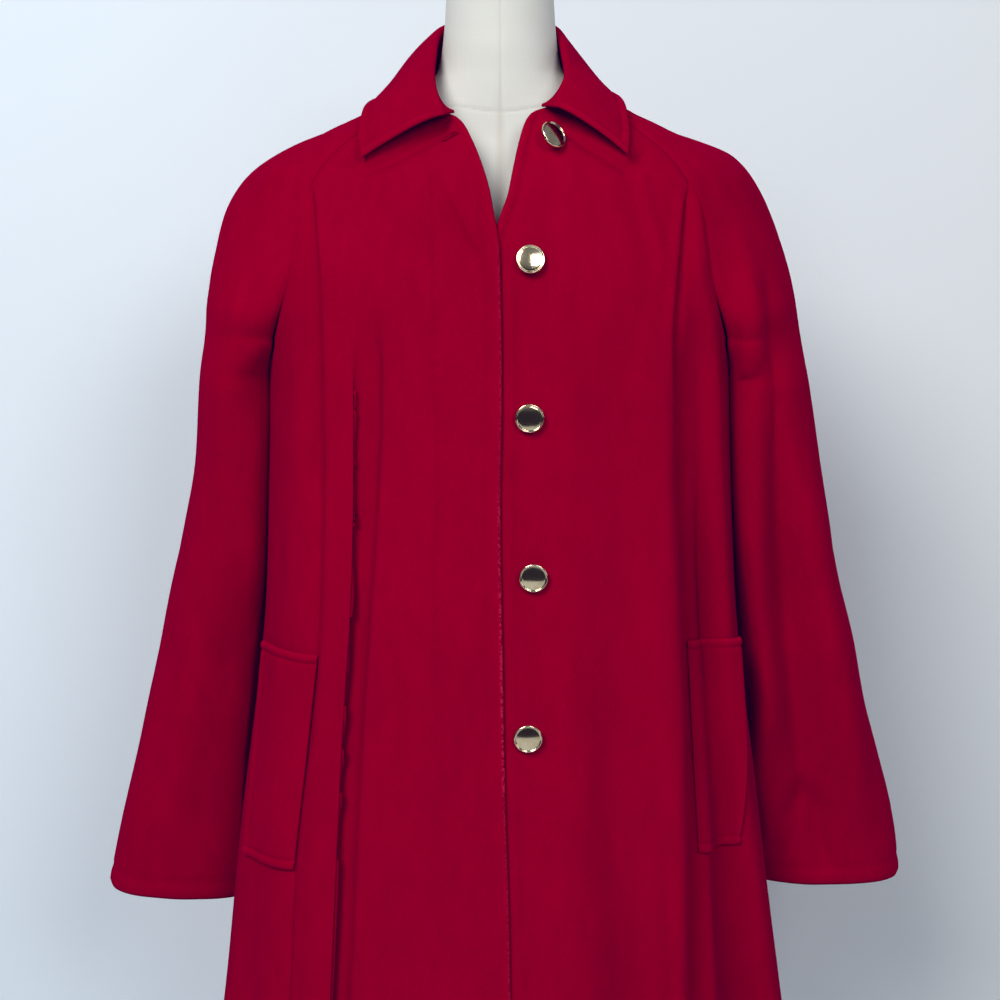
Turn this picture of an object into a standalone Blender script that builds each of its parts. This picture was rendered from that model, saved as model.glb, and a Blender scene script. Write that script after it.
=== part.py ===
"""Swing coat with raglan sleeves on a limbless dress form.

Every panel is a patch of one of two surfaces, the body of the coat and its sleeve, cut along the
real seam lines.  Each patch becomes a closed wall of cloth.  Metres, +Z up, front towards -Y,
the wearer's left at +X.
"""
import bpy
import numpy as np

HEM_Z = 0.345
CUFF_Z = 0.700
UNDERARM_Z = 1.175
PANEL_TOP_Z = 1.351
NECK_SIDE_Z = 1.430
BACK_RISE = 0.018
WALL = 0.0022
COLLAR_WALL = 0.0024
ROLL_RADIUS = 0.0026
ROLL_FROM = 0.30
ROLL_TO = 0.42
SEAM_HALF = 0.0002
TIP_DROP = 0.0065
SLEEVE_AIR = 0.0042
LAP_DROP = 0.0052
COLLAR_RISE = 0.0022
BUTTON_RADIUS = 0.012
BUTTON_THICK = 0.0026
BUTTON_FOOT = 0.0010
WELT_LIFT = {-1: 0.0010, 1: 0.0014}
WELT_THICK = 0.0030
POLE_RADIUS = 0.015
BASE_RADIUS = 0.180
BASE_HEIGHT = 0.016

# Body sections: height, half width, widest at y, front y, back y, front and back roundness.
BODY_SECTIONS = np.array([
    (0.300, 0.297, -0.020, -0.222, 0.232, 2.15, 2.10),
    (0.600, 0.2588, -0.025, -0.188, 0.188, 2.15, 2.10),
    (0.800, 0.2335, -0.028, -0.170, 0.163, 2.20, 2.15),
    (1.000, 0.2090, -0.030, -0.153, 0.138, 2.25, 2.20),
    (1.100, 0.2040, -0.030, -0.146, 0.128, 2.30, 2.20),
    (1.200, 0.2010, -0.030, -0.140, 0.122, 2.30, 2.20),
    (1.250, 0.2110, -0.024, -0.136, 0.120, 2.25, 2.20),
    (1.300, 0.2250, -0.012, -0.129, 0.116, 2.20, 2.20),
    (1.350, 0.2190, 0.000, -0.117, 0.108, 2.20, 2.20),
    (1.380, 0.1800, 0.000, -0.105, 0.099, 2.20, 2.20),
    (1.400, 0.1440, 0.000, -0.0945, 0.090, 2.20, 2.20),
    (1.430, 0.0860, 0.000, -0.0760, 0.076, 2.20, 2.20),
    (1.455, 0.0770, 0.000, -0.0600, 0.0640, 2.20, 2.20),
])
# Seam lines as height and x on the wearer's right, mirrored for the left.
PANEL_SEAM = np.array([(0.30, 0.205), (0.669, 0.1825), (0.778, 0.176), (0.958, 0.154),
                       (1.105, 0.149), (1.232, 0.150), (1.351, 0.1575)])
PANEL_SEAM_LEFT = np.array([(0.30, 0.178), (0.678, 0.164), (0.796, 0.161), (0.929, 0.156),
                            (1.043, 0.150), (1.108, 0.146), (1.213, 0.146), (1.300, 0.152),
                            (1.351, 0.1575)])
FRONT_RAGLAN = np.array([(1.219, 0.1940), (1.246, 0.1850), (1.274, 0.1775), (1.295, 0.1735),
                         (1.316, 0.1690), (1.338, 0.1630), (1.351, 0.1575), (1.374, 0.1420),
                         (1.390, 0.1240), (1.412, 0.0960), (1.430, 0.0740)])
BACK_RAGLAN = np.array([(1.219, 0.1830), (1.260, 0.1730), (1.300, 0.1620), (1.340, 0.1470),
                        (1.380, 0.1220), (1.415, 0.0910), (1.448, 0.0640)])
# Front edges as height and x.
RIGHT_EDGE = np.array([(0.30, 0.0160), (0.678, 0.0091), (0.750, 0.0078), (0.855, 0.0044),
                       (0.934, 0.0030), (1.090, 0.0008), (1.172, 0.0020), (1.294, 0.0000),
                       (1.3268, -0.0049), (1.347, -0.0090), (1.365, -0.0147),
                       (1.3855, -0.0230), (1.3985, -0.0300), (1.4040, -0.0360)])
LEFT_EDGE = np.array([(0.30, -0.0040), (0.678, -0.0100), (0.900, -0.0130), (1.172, -0.0145),
                      (1.290, -0.0100), (1.3138, -0.0030), (1.3268, 0.0015), (1.338, 0.0056), (1.3593, 0.0100),
                      (1.384, 0.0156), (1.3996, 0.0205), (1.4062, 0.0250), (1.4085, 0.0300)])
# Crisp and soft front folds as height and x of the valley.
FOLD_RIGHT = np.array([(0.30, 0.160), (0.678, 0.1425), (0.886, 0.132), (1.010, 0.123),
                       (1.108, 0.117), (1.213, 0.113), (1.300, 0.108), (1.43, 0.058)])
FOLD_LEFT = np.array([(0.30, 0.118), (0.678, 0.100), (0.900, 0.094), (1.100, 0.088),
                      (1.300, 0.080), (1.43, 0.052)])
# Flutes: side (-1 right, 1 left), angle from the front in degrees, half width in degrees,
# depth at the hem, height where they start.
FLUTES = [
    (-1, 64.0, 9.0, 0.012, 1.00), (1, 66.0, 9.0, 0.013, 1.02),
    (-1, 88.0, 9.0, 0.003, 0.95), (1, 87.0, 9.0, -0.006, 0.95),
    (-1, 112.0, 11.0, 0.016, 0.98), (1, 110.0, 11.0, 0.015, 1.00),
    (-1, 143.0, 12.0, 0.020, 1.06), (1, 146.0, 12.0, 0.018, 1.03),
    (-1, 172.0, 9.0, -0.008, 1.00), (1, 169.0, 9.0, -0.007, 1.00),
    (-1, 26.0, 9.0, -0.003, 0.95),
]
# Sleeve sections: height, inner x, centre y, front y, back y.
SLEEVE_SECTIONS = np.array([
    (0.690, 0.2400, 0.028, -0.006, 0.062),
    (0.760, 0.2280, 0.032, -0.016, 0.076),
    (0.850, 0.2120, 0.036, -0.032, 0.092),
    (0.950, 0.1980, 0.037, -0.048, 0.101),
    (1.050, 0.1880, 0.034, -0.062, 0.104),
    (1.130, 0.1870, 0.028, -0.073, 0.103),
    (1.175, 0.1920, 0.020, -0.079, 0.100),
])
# Outline of the sleeve: height, x on the right, x on the left, y.
SLEEVE_OUTLINE = np.array([
    (0.690, 0.3735, 0.3810, 0.030), (0.732, 0.3660, 0.3772, 0.033),
    (0.762, 0.3600, 0.3722, 0.036), (0.820, 0.3460, 0.3578, 0.040),
    (0.878, 0.3328, 0.3420, 0.044), (0.936, 0.3178, 0.3300, 0.046),
    (0.9925, 0.3045, 0.3145, 0.045), (1.049, 0.2900, 0.3020, 0.042),
    (1.105, 0.2775, 0.2900, 0.036), (1.160, 0.2710, 0.2810, 0.030),
    (1.214, 0.2655, 0.2710, 0.024), (1.268, 0.2595, 0.2605, 0.020),
    (1.295, 0.2535, 0.2525, 0.017), (1.322, 0.2465, 0.2425, 0.015),
    (1.348, 0.2320, 0.2290, 0.013), (1.375, 0.2010, 0.2050, 0.012),
    (1.401, 0.1375, 0.1375, 0.010), (1.410, 0.1180, 0.1175, 0.008), (1.4245, 0.0950, 0.0950, 0.006),
    (1.439, 0.0790, 0.0790, 0.004),
])
# Share of the sleeve section, from the front raglan, where the overarm seam runs.
OVERARM = np.array([(0.69, 0.52), (0.95, 0.51), (1.05, 0.48), (1.12, 0.45), (1.18, 0.42),
                    (1.23, 0.40), (1.29, 0.385), (1.348, 0.40), (1.40, 0.46), (1.43, 0.50)])
# Tilt of the cuff: side, height added at the inner line and at the outer line.
CUFF_TILT = {-1: (-0.013, -0.003), 1: (0.006, 0.008)}
BODY_LEVELS_LOW = [0.345, 0.420, 0.500, 0.580, 0.660, 0.740, 0.820, 0.900, 0.980, 1.055, 1.120]
LEVELS_HIGH = [1.175, 1.197, 1.219, 1.250, 1.282, 1.312, 1.335, 1.351, 1.366, 1.379, 1.391,
               1.403, 1.417, 1.430]
SLEEVE_LEVELS_LOW = [0.700, 0.755, 0.815, 0.875, 0.935, 0.995, 1.055, 1.100, 1.140]
# Collar stations on the wearer's right from the front end to the centre back:
# neckline x y z, roll x y z, outer edge x y z, fullness of the fall.
COLLAR_RIGHT = np.array([
    (0.0440, -0.0990, 1.3985, 0.0450, -0.1035, 1.4025, 0.1140, -0.0990, 1.3690, 1.0),
    (0.0520, -0.0860, 1.4080, 0.0525, -0.0850, 1.4230, 0.1175, -0.0830, 1.3860, 1.0),
    (0.0600, -0.0660, 1.4200, 0.0560, -0.0620, 1.4400, 0.1160, -0.0540, 1.4090, 1.0),
    (0.0685, -0.0340, 1.4330, 0.0560, -0.0330, 1.4600, 0.1110, -0.0100, 1.4195, 1.2),
    (0.0680, 0.0040, 1.4440, 0.0540, 0.0020, 1.4800, 0.1050, 0.0390, 1.4225, 1.3),
    (0.0540, 0.0390, 1.4520, 0.0450, 0.0310, 1.4920, 0.0820, 0.0780, 1.4250, 1.1),
    (0.0290, 0.0590, 1.4560, 0.0260, 0.0480, 1.4970, 0.0450, 0.1000, 1.4290, 0.9),
    (0.0000, 0.0650, 1.4570, 0.0000, 0.0530, 1.4980, 0.0000, 0.1060, 1.4310, 1.0),
])
COLLAR_LEFT = np.array([
    (0.0425, -0.0990, 1.4050, 0.0435, -0.1035, 1.4090, 0.1050, -0.1000, 1.3720, 1.0),
    (0.0490, -0.0860, 1.4110, 0.0500, -0.0850, 1.4260, 0.1075, -0.0840, 1.3890, 1.0),
    (0.0600, -0.0660, 1.4200, 0.0550, -0.0620, 1.4400, 0.1060, -0.0570, 1.4125, 0.8),
    (0.0685, -0.0340, 1.4330, 0.0540, -0.0330, 1.4600, 0.1015, -0.0120, 1.4240, 0.5),
    (0.0680, 0.0040, 1.4440, 0.0515, 0.0020, 1.4790, 0.0940, 0.0350, 1.4310, 0.3),
    (0.0540, 0.0390, 1.4520, 0.0440, 0.0310, 1.4915, 0.0760, 0.0740, 1.4290, 0.4),
    (0.0290, 0.0590, 1.4560, 0.0260, 0.0480, 1.4970, 0.0440, 0.0990, 1.4290, 0.8),
])
# Buttons: x and height.
BUTTONS = [(0.0375, 1.3825), (0.0245, 1.285), (0.0240, 1.158), (0.0280, 1.027), (0.0232, 0.894)]
# Welts as corner x and height: top inner, top outer, bottom inner, bottom outer.
WELT_RIGHT = [(0.1550, 0.9545), (0.2060, 0.9560), (0.1775, 0.7680), (0.2260, 0.7655)]
WELT_LEFT = [(0.1690, 0.9625), (0.2040, 0.9600), (0.1780, 0.7790), (0.2210, 0.7740)]
# Dress form sections: height, half width, front y, back y, roundness.
FORM_SECTIONS = [
    (0.800, 0.158, -0.098, 0.108, 2.2), (0.840, 0.166, -0.106, 0.118, 2.2),
    (0.900, 0.167, -0.108, 0.120, 2.2), (0.970, 0.150, -0.098, 0.104, 2.2),
    (1.050, 0.125, -0.088, 0.082, 2.2), (1.120, 0.128, -0.096, 0.082, 2.2),
    (1.190, 0.140, -0.112, 0.090, 2.2), (1.240, 0.148, -0.112, 0.096, 2.2),
    (1.290, 0.155, -0.098, 0.100, 2.2), (1.330, 0.162, -0.082, 0.096, 2.2),
    (1.356, 0.166, -0.070, 0.084, 2.1), (1.3750, 0.163, -0.062, 0.076, 2.1),
    (1.3912, 0.1475, -0.056, 0.068, 2.1), (1.4039, 0.1280, -0.054, 0.062, 2.1),
    (1.4130, 0.1057, -0.053, 0.057, 2.1), (1.4240, 0.0838, -0.0525, 0.053, 2.0),
    (1.4360, 0.066, -0.052, 0.050, 2.0), (1.448, 0.0555, -0.0515, 0.0465, 2.0),
    (1.4625, 0.0515, -0.051, 0.044, 2.0),
    (1.4850, 0.0486, -0.049, 0.042, 2.0),
    (1.5100, 0.0470, -0.048, 0.041, 2.0),
]
COLOURS = {
    "wool": (0.28, 0.002, 0.03), "metal": (0.75, 0.55, 0.28), "canvas": (0.74, 0.75, 0.70),
    "wood": (0.35, 0.20, 0.14), "iron": (0.08, 0.08, 0.09),
}


def pchip(table, column, value):
    """Smooth monotone interpolation of one table column against the first."""
    x = table[:, 0]
    y = table[:, column]
    h = np.diff(x)
    d = np.diff(y) / h
    m = np.zeros_like(y)
    same = d[:-1] * d[1:] > 0
    w1 = 2 * h[1:] + h[:-1]
    w2 = h[1:] + 2 * h[:-1]
    left = np.where(same, d[:-1], 1.0)
    right = np.where(same, d[1:], 1.0)
    m[1:-1] = np.where(same, (w1 + w2) / (w1 / left + w2 / right), 0.0)
    m[0] = d[0]
    m[-1] = d[-1]
    v = np.clip(np.asarray(value, float), x[0], x[-1])
    i = np.clip(np.searchsorted(x, v, side="right") - 1, 0, len(x) - 2)
    t = (v - x[i]) / h[i]
    h00 = (1 + 2 * t) * (1 - t) ** 2
    h10 = t * (1 - t) ** 2
    h01 = t * t * (3 - 2 * t)
    h11 = t * t * (t - 1)
    return h00 * y[i] + h10 * h[i] * m[i] + h01 * y[i + 1] + h11 * h[i] * m[i + 1]


def smooth(low, high, value):
    """Smooth step from 0 at low to 1 at high."""
    t = np.clip((np.asarray(value, float) - low) / (high - low), 0.0, 1.0)
    return t * t * (3.0 - 2.0 * t)


def bump(distance, width):
    return np.exp(-(distance / width) ** 2)


def section(z):
    return [pchip(BODY_SECTIONS, column, z) for column in range(1, 7)]


def angle_at(side, x, z):
    """Angle on the front half of the body whose plain section passes the given x."""
    half, _, _, _, round_front, _ = section(z)
    share = np.clip(np.abs(x) / half, 0.0, 1.0)
    turned = np.arcsin(share ** (round_front / 2.0))
    return np.sign(x) * turned


def back_angle_at(x, z):
    """Angle on the back half, from the front, on the wearer's left."""
    half, _, _, _, _, round_back = section(z)
    share = np.clip(np.abs(x) / half, 0.0, 1.0)
    return np.pi - np.arcsin(share ** (round_back / 2.0))


def front_fold(x, z):
    """Push outward of the front folds at a plain x and height."""
    fold = np.where(x < 0, pchip(FOLD_RIGHT, 1, z), pchip(PANEL_SEAM_LEFT, 1, z) - 0.002)
    s = np.abs(x) - fold
    grow = 1.0 - smooth(0.95, 1.27, z) * 0.55
    fade = 1.0 - smooth(1.16, 1.275, z)
    crisp = grow * fade
    right = 0.0095 * bump(s + 0.015, 0.014) - 0.0160 * bump(s - 0.006, 0.011)
    left = 0.0090 * bump(s + 0.018, 0.017) - 0.0150 * bump(s - 0.012, 0.013)
    soft = -0.0065 * bump(x - pchip(FOLD_LEFT, 1, z), 0.022) * (1.0 - smooth(0.80, 1.12, z))
    seam = -0.0020 * bump(x + pchip(PANEL_SEAM, 1, z), 0.012) * (1.0 - smooth(1.15, 1.33, z))
    return np.where(x < 0, right * crisp + seam, left * crisp + soft)


def body(angle, z):
    """Body surface. The angle runs from 0 at the centre front to pi at the centre back."""
    angle = np.asarray(angle, float)
    z = np.asarray(z, float)
    half, mid, front, back, round_front, round_back = section(z)
    ahead = np.abs(angle) <= np.pi / 2
    power = np.where(ahead, round_front, round_back)
    depth = np.where(ahead, mid - front, back - mid)
    sine = np.sin(np.abs(angle))
    cosine = np.cos(angle)
    x0 = np.sign(angle) * half * np.clip(sine, 0, 1) ** (2.0 / power)
    y0 = mid - np.sign(cosine) * depth * np.abs(cosine) ** (2.0 / power)
    nx = np.sign(angle) * np.abs(x0 / half) ** (power - 1.0) / half
    ny = np.sign(y0 - mid) * np.abs((y0 - mid) / depth) ** (power - 1.0) / depth
    length = np.hypot(nx, ny) + 1e-9
    nx = nx / length
    ny = ny / length
    out = np.where(ahead, front_fold(x0, z), 0.0)
    side = np.sign(angle)
    degrees = np.degrees(np.abs(angle))
    for flute_side, place, width, depth_at_hem, start in FLUTES:
        share = smooth(0.0, 1.0, (start - z) / (start - HEM_Z))
        on = (side == flute_side) | (place > 165.0)
        near = bump(degrees - place, width)
        out = out - np.where(on, near, 0.0) * depth_at_hem * share
    lap = smooth(0.060, 0.026, x0) * (x0 > -0.2) * (np.abs(angle) < 1.0)
    lap = lap * LAP_DROP * np.where(LAP_SIDE[0] > 0, 1.0, 0.0) * (1.0 - smooth(1.31, 1.35, z) * 0.6)
    out = out - lap
    return np.stack([x0 + nx * out, y0 + ny * out, z + 0.0 * angle], axis=-1)


LAP_SIDE = [0]


def front_raglan_angle(side, level):
    """Angle of the front raglan seam, which dives under the arm below the crease."""
    crease = angle_at(side, 0.1940, 1.219)
    under = np.radians(101.0)
    low = under + (crease - under) * smooth(UNDERARM_Z, 1.219, level) ** 0.9
    high = np.abs(angle_at(side, pchip(FRONT_RAGLAN, 1, np.maximum(level, 1.219)), level))
    return side * np.where(level < 1.219, low, high)


def back_raglan_angle(side, level, z):
    crease = back_angle_at(0.1830, 1.219)
    under = np.radians(101.0)
    low = under + (crease - under) * smooth(UNDERARM_Z, 1.219, level) ** 0.9
    high = back_angle_at(pchip(BACK_RAGLAN, 1, np.maximum(z, 1.219)), z)
    return side * np.where(level < 1.219, low, high)


def rise(level):
    return BACK_RISE * smooth(1.25, NECK_SIDE_Z, level)


def side_angle(side, z):
    return side * np.radians(101.0) + 0.0 * z


def tangent(side, angle, z, way):
    """Level direction along the body away from the centre, for the wearer's left."""
    step = 0.004 * way * side
    moved = body(angle + step, z) - body(angle - step, z)
    return unit(moved * [side, 1.0, 0.0])


def bezier(a, b, c, d, t):
    t = t[..., None]
    s = 1.0 - t
    return s ** 3 * a + 3 * s * s * t * b + 3 * s * t * t * c + t ** 3 * d


def sleeve(side, share, level):
    """Sleeve surface: share runs 0 at the front raglan, 0.5 at the outer line, 1 at the back."""
    share = np.asarray(share, float)
    level = np.asarray(level, float) + 0.0 * share
    z = level + rise(level) * smooth(0.0, 1.0, share)
    joined = level >= UNDERARM_Z
    low = np.minimum(level, UNDERARM_Z)
    inner_x = pchip(SLEEVE_SECTIONS, 1, low)
    inner_y = pchip(SLEEVE_SECTIONS, 2, low)
    front_y = pchip(SLEEVE_SECTIONS, 3, low)
    back_y = pchip(SLEEVE_SECTIONS, 4, low)
    column = 1 if side < 0 else 2
    outer_x = pchip(SLEEVE_OUTLINE, column, z)
    outer_y = pchip(SLEEVE_OUTLINE, 3, z)
    seam_low = body(side_angle(side, level), UNDERARM_Z + 0.0 * level)
    start_f = body(front_raglan_angle(side, level), level)
    start_b = body(back_raglan_angle(side, level, level + rise(level)), level + rise(level))
    drop = smooth(UNDERARM_Z, UNDERARM_Z - 0.07, level)[..., None]
    closed = np.stack([inner_x, inner_y, level], axis=-1)
    joint = np.stack([np.abs(seam_low[..., 0]), seam_low[..., 1], level], axis=-1)
    closed = joint * (1.0 - drop) + closed * drop
    start_f = start_f * [side, 1, 1]
    start_b = start_b * [side, 1, 1]
    a_f = np.where(joined[..., None], start_f, closed)
    a_b = np.where(joined[..., None], start_b, closed)
    open_up = smooth(UNDERARM_Z, 1.330, level)
    middle = np.stack([outer_x, outer_y, z], axis=-1)
    reach_f = (a_f[..., 1] - front_y) / 0.75
    reach_b = (back_y - a_b[..., 1]) / 0.75
    span_f = np.linalg.norm((middle - a_f)[..., :2], axis=-1)
    span_b = np.linalg.norm((middle - a_b)[..., :2], axis=-1)
    turn = smooth(UNDERARM_Z, 1.315, level)
    along_f = tangent(side, front_raglan_angle(side, level), level, 1.0)
    along_b = tangent(side, back_raglan_angle(side, level, level + rise(level)),
                      level + rise(level), -1.0)
    steer = turn[..., None]
    go_f = unit([0.03, -1.0, 0.0] * (1 - steer) + along_f * steer)
    go_b = unit([0.03, 1.0, 0.0] * (1 - steer) + along_b * steer)
    len_f = np.maximum(reach_f, 0.01) * (1 - turn) + 0.38 * span_f * turn
    len_b = np.maximum(reach_b, 0.01) * (1 - turn) + 0.38 * span_b * turn
    hold_f = (outer_y - front_y) / 0.75 * (1 - open_up) + 0.52 * (outer_y - a_f[..., 1]) * open_up
    hold_b = (back_y - outer_y) / 0.75 * (1 - open_up) + 0.52 * (a_b[..., 1] - outer_y) * open_up
    zero = 0.0 * level
    c1f = a_f + go_f * len_f[..., None]
    c2f = middle + np.stack([zero, -hold_f, zero], axis=-1)
    c1b = a_b + go_b * len_b[..., None]
    c2b = middle + np.stack([zero, hold_b, zero], axis=-1)
    t = np.clip(share * 2.0, 0.0, 1.0)
    front = bezier(a_f, c1f, c2f, middle, t)
    t = np.clip(2.0 - share * 2.0, 0.0, 1.0)
    back = bezier(a_b, c1b, c2b, middle, t)
    points = np.where((share <= 0.5)[..., None], front, back)
    inner_lift, outer_lift = CUFF_TILT[side]
    across = 1.0 - np.abs(2.0 * share - 1.0)
    lift = inner_lift + (outer_lift - inner_lift) * across ** 0.7
    points[..., 2] = z + lift * smooth(1.02, 0.70, level)
    points = push_out(points, share, level)
    return points * [side, 1, 1]


def push_out(points, share, level):
    """Keeps the sleeve just outside the body."""
    z = points[..., 2]
    half, mid, front, back, round_front, round_back = section(z)
    dx = points[..., 0]
    dy = points[..., 1] - mid
    ahead = dy < 0
    depth = np.where(ahead, mid - front, back - mid)
    power = np.where(ahead, round_front, round_back)
    ratio = (np.abs(dx / half) ** power + np.abs(dy / depth) ** power) ** (1.0 / power)
    edge = np.minimum(share, 1.0 - share)
    free = smooth(UNDERARM_Z + 0.001, UNDERARM_Z - 0.014, level)
    air = SLEEVE_AIR * np.maximum(free, smooth(0.0, 0.10, edge))
    air = air * (1.0 - smooth(1.23, 1.30, level))
    reach = np.hypot(dx, dy) + 1e-9
    need = (1.0 + air / reach) / ratio
    scale = np.where(need > 1.0, need, 1.0)
    points[..., 0] = dx * scale
    points[..., 1] = dy * scale + mid
    return points


def normals_of(function, u, v, du=1e-3, dv=1e-3):
    """Normals of a surface by small steps either way."""
    a = function(u + du, v) - function(u - du, v)
    b = function(u, v + dv) - function(u, v - dv)
    n = np.cross(a, b)
    return n / (np.linalg.norm(n, axis=-1, keepdims=True) + 1e-12)


def unit(v):
    return v / (np.linalg.norm(v, axis=-1, keepdims=True) + 1e-12)


def inset(points, sides, amount):
    """Moves the named sides of a grid in along the cloth by the seam's half gap."""
    p = points.copy()
    if "left" in sides:
        p[:, 0] += unit(points[:, 1] - points[:, 0]) * amount
    if "right" in sides:
        p[:, -1] += unit(points[:, -2] - points[:, -1]) * amount
    if "top" in sides:
        p[-1] += unit(points[-2] - points[-1]) * amount
    if "bottom" in sides:
        p[0] += unit(points[1] - points[0]) * amount
    return p


def grid_faces(rows, columns, offset, flip):
    """Triangles of a grid, cut along the same diagonal on either side of a wall."""
    index = np.arange(rows * columns).reshape(rows, columns) + offset
    a = index[:-1, :-1].ravel()
    b = index[:-1, 1:].ravel()
    c = index[1:, 1:].ravel()
    d = index[1:, :-1].ravel()
    faces = np.concatenate([np.stack([a, b, c], axis=-1), np.stack([a, c, d], axis=-1)])
    return faces[:, ::-1] if flip else faces


def wall_mesh(outer, inner):
    """Closed wall between two grids of points, outer seen with its rows counter-clockwise."""
    rows, columns = outer.shape[:2]
    count = rows * columns
    faces = [grid_faces(rows, columns, 0, False), grid_faces(rows, columns, count, True)]
    index = np.arange(count).reshape(rows, columns)
    rim = np.concatenate([index[0, :-1], index[:-1, -1], index[-1, :0:-1], index[:0:-1, 0]])
    after = np.roll(rim, -1)
    faces.append(np.stack([after, rim, rim + count], axis=-1))
    faces.append(np.stack([after, rim + count, after + count], axis=-1))
    points = np.concatenate([outer.reshape(-1, 3), inner.reshape(-1, 3)])
    return points, np.concatenate(faces)


def make_object(name, points, faces, material, collection):
    mesh = bpy.data.meshes.new(name)
    clean = []
    for face in faces.tolist():
        kept = [v for i, v in enumerate(face) if v != face[i - 1]]
        clean.append(kept)
    mesh.from_pydata(points.tolist(), [], clean)
    mesh.validate()
    mesh.update()
    mesh.polygons.foreach_set("use_smooth", [True] * len(mesh.polygons))
    thing = bpy.data.objects.new(name, mesh)
    thing.data.materials.append(material)
    collection.objects.link(thing)
    return thing


def make_material(name, colour, metallic, roughness):
    material = bpy.data.materials.new(name)
    material.use_nodes = True
    shader = material.node_tree.nodes["Principled BSDF"]
    shader.inputs["Base Color"].default_value = (*colour, 1.0)
    shader.inputs["Metallic"].default_value = metallic
    shader.inputs["Roughness"].default_value = roughness
    return material


def levels_of_body():
    return np.array(BODY_LEVELS_LOW + LEVELS_HIGH)


def front_edge_height(level, top):
    """Height on the front edge for a level: even below, pressed together near the neckline."""
    return np.where(level < 1.20, level, 1.20 + (level - 1.20) * (top - 1.20) / (NECK_SIDE_Z - 1.20))


def seam_x(side, z):
    table = PANEL_SEAM if side < 0 else PANEL_SEAM_LEFT
    return pchip(table, 1, z)


def outer_front_angle(side, level):
    """Outer boundary of the centre front: panel seam, then the raglan."""
    seam = np.abs(angle_at(side, seam_x(side, level), level))
    raglan = np.abs(front_raglan_angle(side, np.maximum(level, PANEL_TOP_Z)))
    return side * np.where(level < PANEL_TOP_Z - 1e-6, seam, raglan)


def front_domain(side, columns_a, columns_b):
    """Angles and heights of the centre front's grid, from the front edge outwards."""
    level = levels_of_body()
    table = RIGHT_EDGE if side < 0 else LEFT_EDGE
    top = table[-1, 0]
    edge_z = front_edge_height(level, top)
    edge = angle_at(side, pchip(table, 1, edge_z), edge_z)
    outer = outer_front_angle(side, level)
    fold_table = FOLD_RIGHT if side < 0 else FOLD_LEFT
    fold_z = edge_z + (level - edge_z) * 0.6
    fold = side * np.abs(angle_at(side, pchip(fold_table, 1, fold_z), fold_z))
    share_a = np.array(columns_a)
    share_b = np.array(columns_b)
    first = edge[:, None] + (fold - edge)[:, None] * share_a
    second = fold[:, None] + (outer - fold)[:, None] * share_b
    z_first = edge_z[:, None] + (fold_z - edge_z)[:, None] * share_a
    z_second = fold_z[:, None] + (level - fold_z)[:, None] * share_b
    return np.concatenate([first, second], axis=1), np.concatenate([z_first, z_second], axis=1)


def body_normal(angle, z):
    n = normals_of(body, angle, z)
    flat = np.stack([np.sin(angle), -np.cos(angle), 0 * angle], axis=-1)
    wrong = (n * flat).sum(axis=-1) < 0
    return np.where(wrong[..., None], -n, n)


def sleeve_normal(side, share, level):
    s = np.clip(share, 0.002, 0.998)
    n = normals_of(lambda u, v: sleeve(side, u, v), s, level, 1.5e-3, 1e-3)
    return n * side


def raglan_normals(side, level, back):
    """Shared normal along a raglan seam, midway between body and sleeve."""
    if back:
        z = level + rise(level)
        own = body_normal(back_raglan_angle(side, level, z), z)
        other = sleeve_normal(side, np.ones_like(level), level)
    else:
        own = body_normal(front_raglan_angle(side, level), level)
        other = sleeve_normal(side, np.zeros_like(level), level)
    share = smooth(1.26, 1.31, level)[..., None]
    if back:
        share = smooth(1.30, 1.35, level)[..., None]
    return own, other, own, share


def body_rim_normals(side, level, back):
    own, _, shared, share = raglan_normals(side, level, back)
    return unit(own * (1.0 - share) + shared * share)


def sleeve_rim_normals(side, level, back):
    _, other, shared, share = raglan_normals(side, level, back)
    return unit(other * (1.0 - share) + shared * share)


def ordered(grid, flip):
    return grid[:, ::-1] if flip else grid


def build_panel(name, points, normals, sides, wall, flip, material, collection):
    """Wall from outer points and normals, with its seam sides moved in."""
    outer = inset(points, sides, SEAM_HALF)
    inner = inset(points - normals * wall, sides, SEAM_HALF)
    mesh_points, faces = wall_mesh(ordered(outer, flip), ordered(inner, flip))
    return make_object(name, mesh_points, faces, material, collection)


def build_front(side, name, material, collection):
    LAP_SIDE[0] = side
    if side < 0:
        angle, z = front_domain(side, [0.0, 0.16, 0.36, 0.58, 0.78, 0.90], [0.0, 0.22, 0.48, 1.0])
    else:
        angle, z = front_domain(side, [0.0, 0.20, 0.42, 0.66, 0.84], [0.0, 0.30, 0.62, 0.85, 1.0])
    points = body(angle, z)
    normals = body_normal(angle, z)
    level = levels_of_body()
    high = level >= PANEL_TOP_Z - 1e-6
    normals[high, -1] = body_rim_normals(side, level[high], False)
    LAP_SIDE[0] = 0
    build_panel(name, points, normals, ["right"], WALL, side < 0, material, collection)


def build_side_front(side, name, material, collection):
    level = levels_of_body()
    level = np.append(level[level < PANEL_TOP_Z - 1e-6], PANEL_TOP_Z - TIP_DROP)
    inner = outer_front_angle(side, level)
    raglan = front_raglan_angle(side, np.maximum(level, UNDERARM_Z))
    outer = np.where(level < UNDERARM_Z, side_angle(side, level), raglan)
    share = np.array([0.0, 0.09, 0.20, 0.34, 0.50, 0.67, 0.84, 1.0])
    angle = inner[:, None] + (outer - inner)[:, None] * share
    angle[-1] = inner[-1] + (angle[-1] - inner[-1]) * 0.75
    z = level[:, None] + 0.0 * share
    points = body(angle, z)
    normals = body_normal(angle, z)
    high = level >= UNDERARM_Z + 1e-6
    normals[high, -1] = body_rim_normals(side, level[high], False)
    build_panel(name, points, normals, ["left", "right"], WALL, side < 0, material, collection)


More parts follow.
